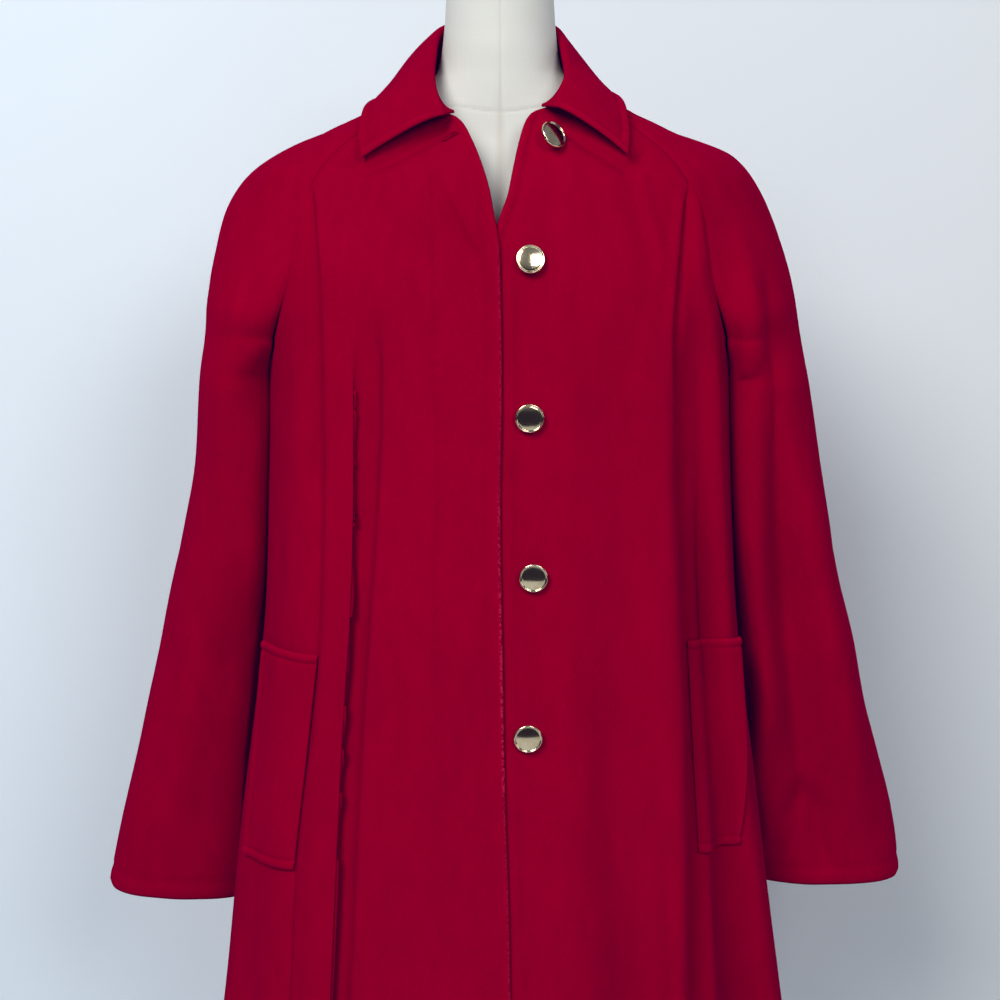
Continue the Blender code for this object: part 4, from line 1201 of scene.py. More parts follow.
@dataclass(frozen=True)
class SideDrape:
    """Soft folds of the side fronts, which the welts follow too."""

    body: CoatBody
    # Ridge before the left sleeve, as height and x.
    ridge: Array = table(
        (0.345, 0.29), (0.6, 0.248), (0.73, 0.2282), (0.91, 0.2027), (1.101, 0.1854),
        (1.21, 0.1792), (1.274, 0.1656))

    def height(self, side: Side, x: Array, z: Array) -> Array:
        """Height to move out by.

        On the left a slope falls from the panel seam to a valley, then climbs fast to a ridge.

        Args:
            side: Wearer's side.
            x: Distance from the middle plane.
            z: Heights.

        Returns:
            Heights over the plain surface.
        """
        if side is Side.RIGHT:
            out = crease(x, z, [(0.165, 1.25), (0.171, 1.13), (0.182, 0.98)], 0.002, 0.009, 0.3)
            return out + crease(x, z, [(0.186, 1.12), (0.2, 0.96), (0.224, 0.76)],
                                -0.0026, 0.01, 0.3)
        seam = pchip(self.body.seam_left, 1, z)
        crest = pchip(self.ridge, 1, z)
        u = (x - seam) / (crest - seam)
        hollow = np.where(u > 0.82, bump(u - 0.82, 0.15), bump(u - 0.82, 0.5))
        depth = (0.027 - 0.019 * smooth(0.98, 1.14, z)) * smooth(1.27, 1.16, z)
        depth = depth * smooth(0.35, 0.6, z)
        return 0.0035 * bump(x - crest, 0.0085) * smooth(0.4, 0.6, z) - depth * hollow


@dataclass(frozen=True)
class SeamDip:
    """Depth of the valley along the panel seams, deeper where the arm pulls the cloth."""

    low: float = 0.0018
    high: float = 0.0042

    def depth(self, z: Array) -> Array:
        """Depth of the valley at each height."""
        rest = self.low + (self.high - self.low) * smooth(0.98, 1.12, z)
        return rest * (1.0 + 0.25 * bump(z - 1.22, 0.06)) * smooth(1.35, 1.325, z)


@dataclass
class FrontPanels:
    """The two centre fronts: the right one laps over the left and hides its placket."""

    body: CoatBody
    wool: Material
    thick: float = 0.0024
    edge_thick: float = 0.0046
    rows_low: int = 210
    rows_high: int = 96
    columns: tuple[int, int] = (46, 38)
    # Topstitching of the hidden placket, as x and height.
    fly: tuple[tuple[float, float], ...] = (
        (-0.0571, 1.3664), (-0.0528, 1.3154), (-0.0529, 1.2534), (-0.0491, 1.1072),
        (-0.0518, 1.009), (-0.0504, 0.8806), (-0.0463, 0.8497), (-0.0389, 0.8281),
        (-0.0256, 0.8147), (-0.0041, 0.8095))
    drag_right: tuple[tuple[float, float], ...] = (
        (-0.0559, 1.361), (-0.0511, 1.3443), (-0.0382, 1.3194), (-0.0237, 1.2929),
        (-0.018, 1.2743))
    drag_left: tuple[tuple[float, float], ...] = (
        (0.1104, 1.3779), (0.1207, 1.3369), (0.1346, 1.2824), (0.1433, 1.2529))

    # Hollows just under the collar's lower edges.
    under_right: tuple = ((-0.122, 1.369), (-0.112, 1.36), (-0.08, 1.3735), (-0.048, 1.392))
    under_left: tuple = ((0.118, 1.37), (0.105, 1.361), (0.078, 1.377), (0.052, 1.395))

    def grid(self, side: Side) -> tuple[Array, Array]:
        """Angles and heights of one panel's fine grid.

        Args:
            side: Wearer's side.

        Returns:
            Angles and heights.
        """
        level = np.concatenate([np.linspace(self.body.hem, 1.2, self.rows_low)[:-1],
                                1.2 + 0.23 * paced(self.rows_high, 0.45)])
        inner = paced(self.columns[0] + (26 if side is Side.RIGHT else 0), 0.5)[:-1]
        outer = paced(self.columns[1], 0.5)
        return self.body.front_domain(side.value, level, inner, outer)

    @staticmethod
    def crisp_fold(z: Array, s: Array) -> Array:
        """Turns the right front's plain fold into a narrow trough, steeper on its inner side.

        Args:
            z: Heights.
            s: Distance past the plain fold.

        Returns:
            Height to add to the plain fold.
        """
        plain = 0.0095 * bump(s + 0.015, 0.014) - 0.016 * bump(s - 0.006, 0.011)
        past = s + 0.008
        trough = -0.0215 * np.where(past < 0.0, bump(past, 0.0078), bump(past, 0.011))
        crest = 0.005 * bump(past - 0.024, 0.013) + 0.0015 * bump(past + 0.017, 0.01)
        grow = (1.0 - smooth(0.95, 1.27, z) * 0.45) * (1.0 - smooth(1.15, 1.275, z))
        return grow * (crest + trough - plain)

    def relief(self, side: Side, angle: Array, z: Array, reach: Values) -> Array:
        """Height added to a panel: rolled edge, seam lip, topstitching and drag lines.

        Args:
            side: Wearer's side.
            angle: Angles of the grid.
            z: Heights of the grid.
            reach: Distances from the grid's sides.

        Returns:
            Height to move out by.
        """
        x = self.body.plain_x(angle, z)
        edge = np.minimum(reach["left"], reach["top"] + 0.0005)
        out = 0.0008 * bump(edge - 0.0045, 0.004) - 0.0009 * bump(edge - 0.0108, 0.0028)
        seam = smooth(1.352, 1.346, z)
        deep = SeamDip().depth(z)
        out += seam * (0.45 * deep * bump(reach["right"] - 0.0065, 0.005)
                       - deep * bump(reach["right"], 0.0024))
        out -= (1.0 - seam) * 0.0018 * bump(reach["right"], 0.0035)
        if side is Side.RIGHT:
            gap, place = to_line(x, z, list(self.fly))
            pucker = 1.0 + 0.3 * np.sin(place * 2 * np.pi * 46.0) + 0.2 * np.sin(place * 401.0)
            fade = smooth(0.0, 0.04, place) * smooth(0.0, 0.02, 1.0 - place)
            out += fade * (-0.0012 * pucker * bump(gap, 0.0022) + 0.0006 * bump(gap + 0.006, 0.005))
            out += crease(x, z, list(self.drag_right), -0.0022, 0.0045, 0.3)
            out += crease(x, z, [(a + 0.009, b) for a, b in self.drag_right], 0.0018, 0.006, 0.3)
            s = np.abs(x) - pchip(self.body.fold_right, 1, z)
            out += self.crisp_fold(z, s)
            out -= 0.006 * bump(to_line(x, z, list(self.under_right))[0], 0.006)
        else:
            out += crease(x, z, list(self.drag_left), 0.0018, 0.006, 0.3)
            out += crease(x, z, [(a - 0.011, b) for a, b in self.drag_left], -0.0014, 0.008, 0.3)
            s = np.abs(x) - pchip(self.body.seam_left, 1, z)
            sharp = (1.0 - smooth(1.1, 1.27, z))
            out += sharp * 0.0045 * bump(s + 0.0095, 0.008)
            valley = pchip(self.body.fold_left, 1, z) - 0.001
            valley = valley + 0.024 * (1.0 - smooth(0.68, 0.98, z))
            out -= 0.019 * bump(x - valley - 0.002, 0.025) * (1.0 - smooth(0.6, 1.0, z))
            lap = pchip(self.body.edge_right, 1, z)
            out += 0.002 * bump(x - lap - 0.0065, 0.0045) * smooth(1.3, 1.26, z)
            out -= 0.0055 * bump(to_line(x, z, list(self.under_left))[0], 0.006)
        return out

    def build(self, side: Side) -> Thing:
        """Builds one panel.

        Args:
            side: Wearer's side.

        Returns:
            The panel.
        """
        angle, z = self.grid(side)
        lapped = side is Side.LEFT
        points = self.body.point(angle, z, lapped)
        normals = self.body.normal(angle, z, lapped)
        reach = arcs(points)
        height = self.relief(side, angle, z, reach) + ripple(points, 0.0007)
        points = points + normals * height[..., None]
        normals = grid_normals(points) * -side.value
        flat = np.stack([np.sin(angle), -np.cos(angle), 0 * angle], axis=-1)
        wrong = (normals * flat).sum(axis=-1) < -0.2
        normals = np.where(wrong[..., None], -normals, normals)
        edge = np.minimum(reach["left"], reach["top"])
        extra = (self.edge_thick - self.thick) * smooth(0.0105, 0.0075, edge)
        if lapped:
            extra = extra * smooth(1.25, 1.32, z)
        values = {"rub": bump(edge, 0.0035) + 0.7 * bump(reach["bottom"], 0.0035)}
        # Mask of the bright edge line, which is the topstitch thread and a painted highlight. It is
        # a third strong along the whole edge, full from 0.86 to 1.085 m, and fades out between 1.28
        # and 1.31 m.
        if side is Side.RIGHT:
            span = 0.35 + 0.65 * smooth(0.835, 0.86, z) * smooth(1.11, 1.085, z)
            span = span * smooth(1.31, 1.28, z)
            values["stitch_and_highlight"] = span * bump(reach["left"] - 0.0008, 0.0012)
        return hang("front_%s" % side.word, points, normals,
                    self.thick + extra + turned_hem(reach), ("left", "top", "bottom"),
                    side is Side.RIGHT, self.wool, values)

    def buttonhole(self) -> Thing:
        """The one worked buttonhole that shows: a thread ridge round a long slit.

        A small circle is carried along a stadium-shaped loop that lies on the cloth.
        """
        a = np.array([-0.0477, 1.3835])
        b = np.array([-0.0354, 1.3899])
        way = (b - a) / np.linalg.norm(b - a)
        across = np.array([-way[1], way[0]])
        turn = np.linspace(0.0, 2 * np.pi, 96, endpoint=False)
        push = np.sign(np.cos(turn)) * np.abs(np.cos(turn)) ** 0.35
        middle = (a + b) / 2
        half = np.linalg.norm(b - a) / 2
        loop = middle + way * (half * push)[:, None] + across * (0.0011 * np.sin(turn))[:, None]
        angle = self.body.angle_at(loop[:, 0], loop[:, 1])
        centre = self.body.point(angle, loop[:, 1])
        normal = self.body.normal(angle, loop[:, 1])
        along = unit(np.roll(centre, -1, axis=0) - np.roll(centre, 1, axis=0))
        side = np.cross(along, normal)
        ring = np.linspace(0.0, 2 * np.pi, 10, endpoint=False)
        radius = 0.0006 * (1.0 + 0.18 * np.sin(turn * 40.0))[:, None, None]
        tube = (centre[:, None] + normal[:, None] * 0.0012
                + radius * (np.cos(ring)[None, :, None] * side[:, None]
                            + np.sin(ring)[None, :, None] * normal[:, None]))
        rows, columns = tube.shape[:2]
        index = np.arange(rows * columns).reshape(rows, columns)
        nexts = np.roll(index, -1, axis=0)
        faces = np.stack([index, np.roll(index, -1, axis=1), np.roll(nexts, -1, axis=1), nexts],
                         axis=-1).reshape(-1, 4)
        piece = mesh_object("buttonhole_thread", tube.reshape(-1, 3), faces.tolist(), self.wool)
        return dress(piece, ())


@dataclass
class SideFronts:
    """The two side fronts, between the centre fronts and the side seams."""

    body: CoatBody
    wool: Material
    thick: float = 0.0024
    rows: int = 300
    columns: int = 54
    tip_drop: float = 0.001

    def build(self, side: Side) -> Thing:
        """Builds one panel: a lowered seam against the proud centre front, and soft drapes.

        Args:
            side: Wearer's side.

        Returns:
            The panel.
        """
        body = self.body
        top = body.panel_top - self.tip_drop
        level = np.concatenate([np.linspace(body.hem, body.underarm, 200)[:-1],
                                np.linspace(body.underarm, top, self.rows - 199)])
        inner = body.outer_front_angle(side.value, level)
        raglan = body.front_raglan_angle(side.value, np.maximum(level, body.underarm))
        seam = side.value * body.side_seam + 0.0 * level
        outer = np.where(level < body.underarm, seam, raglan)
        angle = inner[:, None] + (outer - inner)[:, None] * paced(self.columns, 0.5)
        z = level[:, None] + 0.0 * angle
        points = body.point(angle, z)
        normals = body.normal(angle, z)
        reach = arcs(points)
        out = ripple(points, 0.0007)
        out -= SeamDip().depth(z) * bump(reach["left"], 0.0062)
        out -= 0.001 * bump(reach["right"], 0.003)
        out += SideDrape(body).height(side, np.abs(points[..., 0]), z)
        points = points + normals * out[..., None]
        return hang("side_front_%s" % side.word, points, normals,
                    self.thick + turned_hem(reach), ("bottom",), side is Side.RIGHT, self.wool,
                    {"rub": 0.7 * bump(reach["bottom"], 0.0035)})


@dataclass
class BackPanel:
    """The whole back, from side seam to side seam, with its flutes."""

    body: CoatBody
    wool: Material
    thick: float = 0.0024
    # Creases as lines of degrees round the body over 1000 and height, with depth and half width.
    creases: tuple = (
        (((0.128, 1.235), (0.15, 1.165), (0.158, 1.06)), -0.0045, 0.006),
        (((0.232, 1.24), (0.214, 1.15), (0.206, 1.04)), -0.0042, 0.0065),
        (((0.165, 1.33), (0.172, 1.24), (0.176, 1.12)), -0.003, 0.0075),
        (((0.196, 1.34), (0.19, 1.26), (0.187, 1.13)), -0.0026, 0.007),
        (((0.152, 1.12), (0.156, 0.9), (0.16, 0.64)), 0.004, 0.006),
        (((0.205, 1.1), (0.203, 0.86), (0.199, 0.6)), 0.0038, 0.0065))

    def build(self) -> Thing:
        """Builds the panel from both halves of the body's surface.

        Returns:
            The panel.
        """
        body = self.body
        level = np.concatenate([np.linspace(body.hem, body.underarm, 190)[:-1],
                                np.linspace(body.underarm, body.neck_side, 82)])
        z = np.where(level < body.underarm, level, level + body.rise(level))
        side = body.side_seam + 0.0 * level
        edge = np.where(level < body.underarm, side, body.back_raglan_angle(1, level, z))
        share = np.concatenate([paced(60, 0.0)[:-1] * 0.5, 0.5 + paced(60, 0.0) * 0.5])
        turn = edge[:, None] + (2 * np.pi - 2 * edge)[:, None] * share
        signed = np.where(turn <= np.pi, turn, turn - 2 * np.pi)
        mid = 1.0 - np.abs(2.0 * share - 1.0)
        heights = z[:, None] + 0.01 * smooth(1.38, 1.43, level)[:, None] * mid
        points = body.point(signed, heights)
        normals = body.normal(signed, heights)
        reach = arcs(points)
        out = ripple(points, 0.0007)
        out -= 0.0012 * (bump(reach["left"], 0.003) + bump(reach["right"], 0.003))
        degrees = np.degrees(turn) / 1000.0
        for line, depth, width in self.creases:
            out += crease(degrees, heights, list(line), depth, width, 0.35)
        points = points + normals * out[..., None]
        return hang("back", points, normals, self.thick + turned_hem(reach), ("bottom",), False,
                    self.wool, {"rub": 0.7 * bump(reach["bottom"], 0.0035)})


@dataclass
class Sleeves:
    """The raglan sleeves, each a front and a back piece joined over the arm."""

    body: CoatBody
    wool: Material
    thick: float = 0.0024
    rows: int = 210
    columns: int = 66
    # Folds as lines of x and height, with depth and half width; plus is a ridge.
    folds_left: tuple = (
        (((0.199, 1.35), (0.208, 1.274), (0.2126, 1.1865), (0.2162, 1.09), (0.224, 0.98)),
         0.006, 0.01),
        (((0.256, 1.17), (0.266, 1.1), (0.279, 1.02), (0.296, 0.95), (0.314, 0.87),
          (0.332, 0.79), (0.344, 0.735)), 0.012, 0.017),
        (((0.2803, 0.82), (0.2672, 0.7753), (0.252, 0.715)), -0.0065, 0.0085),
        (((0.287, 0.81), (0.2954, 0.7561), (0.308, 0.708)), -0.0065, 0.0085))
    folds_right: tuple = (
        (((-0.235, 1.01), (-0.2506, 0.898), (-0.2612, 0.832), (-0.2693, 0.766),
          (-0.2732, 0.7)), -0.0062, 0.026),
        (((-0.206, 1.225), (-0.212, 1.13), (-0.217, 1.05), (-0.224, 0.95)), 0.006, 0.01),
        (((-0.295, 0.96), (-0.31, 0.86), (-0.322, 0.76)), -0.0035, 0.01))
    folds_behind: tuple = (
        (((0.215, 1.21), (0.23, 1.09), (0.246, 0.96), (0.262, 0.82)), -0.007, 0.012),
        (((0.248, 1.12), (0.27, 0.98), (0.296, 0.84)), -0.005, 0.011),
        (((0.23, 1.04), (0.252, 1.02), (0.272, 1.03)), -0.003, 0.007),
        (((0.226, 0.98), (0.25, 0.95), (0.276, 0.955)), -0.0026, 0.0075))

    # The left sleeve's deep fold: height, x of its foot, depth, crest and width of its wall.
    deep_fold: Array = table(
        (0.715, 0.296, 0.0, 0.0, 0.036), (0.81, 0.28, 0.01, 0.015, 0.034),
        (0.91, 0.26, 0.011, 0.02, 0.014), (1.005, 0.2465, 0.015, 0.02, 0.013),
        (1.1, 0.239, 0.012, 0.013, 0.013), (1.2, 0.235, 0.006, 0.005, 0.016),
        (1.3, 0.23, 0.0, 0.0, 0.016))

    def relief(self, side: Side, points: Array, share: Array, level: Array) -> Array:
        """Height of the listed folds, on the front or on the back of the sleeve.

        Args:
            side: Wearer's side.
            points: Points of the piece.
            share: Their places round the sleeve.
            level: Their levels.

        Returns:
            Height to move out by.
        """
        x = points[..., 0]
        z = points[..., 2]
        ahead = 1.0 - smooth(0.46, 0.54, share)
        behind = smooth(0.5, 0.62, share)
        out = np.zeros_like(x)
        for line, depth, width in (self.folds_left if side is Side.LEFT else self.folds_right):
            out += ahead * crease(x, z, list(line), depth, width, 0.3)
        if side is Side.LEFT:
            foot, depth, crest, width = [pchip(self.deep_fold, c, z) for c in (1, 2, 3, 4)]
            past = x - foot
            fall = smooth(-1.0, 0.0, past / width)
            high = crest * (1.0 - fall) * bump(np.minimum(past + width, 0.0), 0.015)
            low = depth * fall * bump(np.maximum(past, 0.0), 0.027)
            out += (1.0 - smooth(0.34, 0.45, share)) * (high - low)
        for line, depth, width in self.folds_behind:
            grow = 1.0 if side is Side.LEFT else 0.8
            moved = [(a + (0.0 if side is Side.LEFT else 0.006), b + 0.01 * grow)
                     for a, b in line]
            out += behind * grow * crease(np.abs(x), z, moved, depth, width, 0.3)
        above = level - SleeveForm(self.body, side).cuff
        out -= 0.0009 * bump(above - 0.017, 0.0022)
        out += 0.0006 * bump(above - 0.008, 0.007)
        return out

    def build(self, side: Side) -> list[Thing]:
        """Builds the front and the back piece of one sleeve.

        Args:
            side: Wearer's side.

        Returns:
            The two pieces.
        """
        form = SleeveForm(self.body, side)
        level = np.concatenate([np.linspace(form.cuff, self.body.underarm, 130)[:-1],
                                np.linspace(self.body.underarm, self.body.neck_side,
                                            self.rows - 129)])
        seam = pchip(form.overarm, 1, level)
        pieces = []
        for part in ("front", "back"):
            place = paced(self.columns, 0.45)
            if part == "front":
                share = seam[:, None] * place
            else:
                share = seam[:, None] + (1.0 - seam)[:, None] * place
            levels = level[:, None] + 0.0 * share
            points = form.point(share, levels)
            normals = form.normal(share, levels)
            reach = arcs(points)
            raglan, over = ("left", "right") if part == "front" else ("right", "left")
            out = self.relief(side, points, share, levels) + ripple(points, 0.0008)
            joined = smooth(self.body.underarm - 0.02, self.body.underarm + 0.03, levels)
            if part == "front":
                near = smooth(0.86, 0.98, levels) * smooth(1.25, 1.1, levels)
                out += 0.0045 * near * bump(reach[raglan] - 0.032, 0.022)
            out -= 0.0013 * joined * bump(reach[raglan], 0.0035)
            lip = 0.0012 if part == "front" else -0.0004
            out += lip * bump(reach[over] - 0.005, 0.0055) - 0.0014 * bump(reach[over], 0.0022)
            rim = smooth(0.0, 0.006, reach[raglan]) * smooth(0.0, 0.004, reach[over])
            keep = np.where(levels < self.body.underarm, rim, 1.0)
            out = out * keep
            points = points + normals * out[..., None]
            cuff = 0.0014 * smooth(0.019, 0.015, reach["bottom"])
            pieces.append(hang("sleeve_%s_%s" % (part, side.word), points, normals,
                               self.thick + cuff, ("bottom",), side is Side.RIGHT, self.wool,
                               {"rub": bump(reach["bottom"], 0.004)}))
        return pieces


@dataclass
class Collar:
    """The turned-down collar: a stand, a rolled fold and a fall with pointed ends."""

    body: CoatBody
    wool: Material
    thick: float = 0.003
    edge_thick: float = 0.0044
    roll_radius: float = 0.0026
    roll_from: float = 0.3
    roll_to: float = 0.42
    rise: float = 0.0022
    # From the front end to the centre back: neckline, roll and outer edge as x y z, fullness.
    right: Array = table(
        (0.044, -0.099, 1.3985, 0.045, -0.1035, 1.4025, 0.114, -0.099, 1.369, 1.0),
        (0.052, -0.086, 1.408, 0.0525, -0.085, 1.423, 0.1175, -0.083, 1.386, 1.0),
        (0.06, -0.066, 1.42, 0.056, -0.062, 1.44, 0.116, -0.054, 1.409, 1.0),
        (0.0685, -0.034, 1.433, 0.056, -0.033, 1.46, 0.111, -0.01, 1.4195, 1.2),
        (0.068, 0.004, 1.444, 0.054, 0.002, 1.48, 0.105, 0.039, 1.4225, 1.3),
        (0.054, 0.039, 1.452, 0.045, 0.031, 1.492, 0.082, 0.078, 1.425, 1.1),
        (0.029, 0.059, 1.456, 0.026, 0.048, 1.497, 0.045, 0.1, 1.429, 0.9),
        (0.0, 0.065, 1.457, 0.0, 0.053, 1.498, 0.0, 0.106, 1.431, 1.0))
    left: Array = table(
        (0.0425, -0.099, 1.405, 0.0435, -0.1035, 1.409, 0.105, -0.1, 1.372, 1.0),
        (0.049, -0.086, 1.411, 0.05, -0.085, 1.426, 0.1075, -0.084, 1.389, 1.0),
        (0.06, -0.066, 1.42, 0.055, -0.062, 1.44, 0.106, -0.057, 1.4125, 0.8),
        (0.0685, -0.034, 1.433, 0.054, -0.033, 1.46, 0.1015, -0.012, 1.424, 0.5),
        (0.068, 0.004, 1.444, 0.0515, 0.002, 1.479, 0.094, 0.035, 1.431, 0.3),
        (0.054, 0.039, 1.452, 0.044, 0.031, 1.4915, 0.076, 0.074, 1.429, 0.4),
        (0.029, 0.059, 1.456, 0.026, 0.048, 1.497, 0.044, 0.099, 1.429, 0.8))

    @staticmethod
    def catmull(points: Array, values: Array) -> Array:
        """Smooth curve through rows of points at the places values, from 0 to 1.

        Args:
            points: Rows of the points.
            values: Places.

        Returns:
            A row for each place.
        """
        count = len(points)
        place = np.asarray(values) * (count - 1)
        i = np.clip(place.astype(int), 0, count - 2)
        t = (place - i)[:, None]
        p0 = points[np.maximum(i - 1, 0)]
        p1 = points[i]
        p2 = points[i + 1]
        p3 = points[np.minimum(i + 2, count - 1)]
        return 0.5 * (2 * p1 + (p2 - p0) * t + (2 * p0 - 5 * p1 + 4 * p2 - p3) * t ** 2
                      + (3 * p1 - p0 - 3 * p2 + p3) * t ** 3)

    def neckline(self, side: Side) -> Array:
        """Points of the coat's neckline on one side, from its front corner to the back.

        Args:
            side: Wearer's side.

        Returns:
            Points.
        """
        body = self.body
        sign = side.value
        dense = np.linspace(0.0, 1.0, 21)
        level = np.array([1.2, body.neck_side])
        angle, z = body.front_domain(sign, level, dense[:-1], dense)
        front = body.point(angle[-1], z[-1], side is Side.LEFT)
        over = SleeveForm(body, side).point(dense, body.neck_side + 0.0 * dense)
        height = body.neck_side + body.back_rise
        edge = body.back_raglan_angle(sign, np.array(body.neck_side), np.array(height))
        behind = body.point(edge + (sign * np.pi - edge) * dense, height + 0.01 * dense)
        return np.concatenate([front, over[1:], behind[1:]])

    def surface(self, u: Array, v: Array) -> Array:
        """Middle of the collar: a straight stand, an arc at the roll and a cubic fall.

        Args:
            u: Places from the right front end round to the left.
            v: Places from the neckline to the outer edge.

        Returns:
            Grid of points.
        """
        flipped = self.right * ([-1, 1, 1] * 3 + [1])
        stations = np.concatenate([flipped, self.left[::-1]])
        rows = self.catmull(stations, u)
        points = np.concatenate([self.neckline(Side.RIGHT), self.neckline(Side.LEFT)[-2::-1]])
        steps = np.linalg.norm(np.diff(points, axis=0), axis=1)
        run = np.concatenate([[0.0], np.cumsum(steps)])
        gaps = np.linalg.norm(points[None] - stations[:, None, :3], axis=-1)
        place = self.catmull(run[gaps.argmin(axis=1)][:, None], u)[:, 0]
        neck = np.stack([np.interp(place, run, points[:, i]) for i in range(3)], axis=-1)
        neck = neck - unit(neck * [1, 1, 0]) * 0.0011 + [0.0, 0.0, self.rise]
        neck = neck[:, None, :]
        roll = rows[:, None, 3:6]
        edge = rows[:, None, 6:9]
        full = rows[:, None, 9:10]
        t = np.asarray(v)[None, :, None]
        radius = self.roll_radius
        along = unit(np.gradient(rows[:, 3:6], axis=0))[:, None, :]
        up = square_to(np.array([0.0, 0.0, 1.0]) + 0.0 * along, along)
        out = square_to(edge - roll, along * [1, 1, 0])
        out = square_to(out * [1, 1, 0], along)
        centre = roll + out * radius - up * radius * 0.5
        climb = square_to(roll - neck, along)
        away = unit(out - climb * (out * climb).sum(axis=-1, keepdims=True))
        begin = centre - away * radius
        reach = np.linalg.norm(edge - centre, axis=-1, keepdims=True)
        leave = unit(edge - centre + up * 0.3 * reach * full)
        turned = square_to(leave, along)
        sweep = np.arctan2((turned * away).sum(axis=-1), (turned * climb).sum(axis=-1))[..., None]
        turn = np.clip((t - self.roll_from) / (self.roll_to - self.roll_from), 0, 1) * sweep
        rounded = centre - away * radius * np.cos(turn) + climb * radius * np.sin(turn)
        end = centre - away * radius * np.cos(sweep) + climb * radius * np.sin(sweep)
        low = neck + (begin - neck) * np.clip(t / self.roll_from, 0, 1)
        fall = np.clip((t - self.roll_to) / (1.0 - self.roll_to), 0, 1)
        c1 = end + leave * 0.25 * reach
        c2 = edge + (end - edge) * 0.35 + up * 0.006 * full
        s = 1.0 - fall
        high = s ** 3 * end + 3 * s * s * fall * c1 + 3 * s * fall * fall * c2 + fall ** 3 * edge
        return np.where(t <= self.roll_from, low, np.where(t <= self.roll_to, rounded, high))

    def build(self) -> Thing:
        """Builds the collar, thicker inside its edges, where the seam allowance lies.

        Returns:
            The collar.
        """
        u = paced(300, 0.55)
        low, high = self.roll_from, self.roll_to
        falling = 1.0 - (1.0 - np.linspace(0.0, 1.0, 60)) ** 1.35
        v = np.concatenate([np.linspace(0.0, low, 18)[:-1], np.linspace(low, high, 16)[:-1],
                            high + (1.0 - high) * falling])
        middle = self.surface(u, v)
        normals = grid_normals(middle)
        reach = arcs(middle)
        edge = np.minimum(np.minimum(reach["right"], reach["top"]), reach["bottom"])
        fall = smooth(0.44, 0.5, v)[None, :]
        swell = fall * (0.0011 * bump(edge - 0.004, 0.0034) - 0.0007 * bump(edge - 0.0085, 0.0024))
        swell = swell + ripple(middle, 0.0005)
        thick = self.thick + (self.edge_thick - self.thick) * smooth(0.0085, 0.006, edge) * fall
        outer = middle + normals * (thick / 2 + swell)[..., None]
        values = {"rub": fall * bump(edge, 0.004) + bump(v[None, :] - 0.36, 0.03) * 0.5
                  + 0.0 * edge}
        return hang("collar", outer, normals, thick, ("right", "top", "bottom"), True, self.wool,
                    values, middle)


@dataclass
class Welts:
    """The two slanted pocket welts, folded bands set into the side fronts."""

    body: CoatBody
    wool: Material
    thick: float = 0.0032
    # Corners as x and height: top inner, top outer, bottom inner, bottom outer.
    right: tuple = ((0.155, 0.9545), (0.206, 0.956), (0.1775, 0.768), (0.226, 0.7655))
    left: tuple = ((0.169, 0.9625), (0.204, 0.96), (0.178, 0.779), (0.221, 0.774))

    def build(self, side: Side) -> Thing:
        """Builds one welt from its panel's own points, moved out, with a stitched border.

        Args:
            side: Wearer's side.

        Returns:
            The welt.
        """
        top_in, top_out, low_in, low_out = self.right if side is Side.RIGHT else self.left
        u = paced(44, 0.6)
        v = paced(120, 0.6)
        lift = 0.0012 if side is Side.RIGHT else 0.0016
        inner = np.array(low_in) + (np.array(top_in) - np.array(low_in)) * v[:, None]
        outer = np.array(low_out) + (np.array(top_out) - np.array(low_out)) * v[:, None]
        spot = inner[:, None] + (outer - inner)[:, None] * u[None, :, None]
        angle = side.value * np.abs(self.body.angle_at(spot[..., 0], spot[..., 1]))
        points = self.body.point(angle, spot[..., 1])
        normals = self.body.normal(angle, spot[..., 1])
        reach = arcs(points)
        ends = np.minimum(reach["top"], reach["bottom"])
        border = 0.0008 * bump(ends - 0.004, 0.003) - 0.001 * bump(ends - 0.008, 0.0016)
        border = border + 0.0006 * bump(reach["right"] - 0.004, 0.0035)
        border = border - 0.0007 * bump(reach["right"] - 0.0085, 0.0018)
        thick = self.thick * (1.0 + 0.35 * u[None, :]) + 0.0 * border
        drape = SideDrape(self.body).height(side, np.abs(points[..., 0]), points[..., 2])
        total = lift + thick + border + drape + ripple(points, 0.0007)
        sunk = 0.0022 * bump(reach["left"], 0.0045)
        return hang("welt_%s" % side.word, points + normals * (total - sunk)[..., None], normals,
                    thick, ("right", "top", "bottom"), side is Side.RIGHT, self.wool,
                    {"rub": bump(np.minimum(ends, reach["right"]), 0.003)},
                    points)


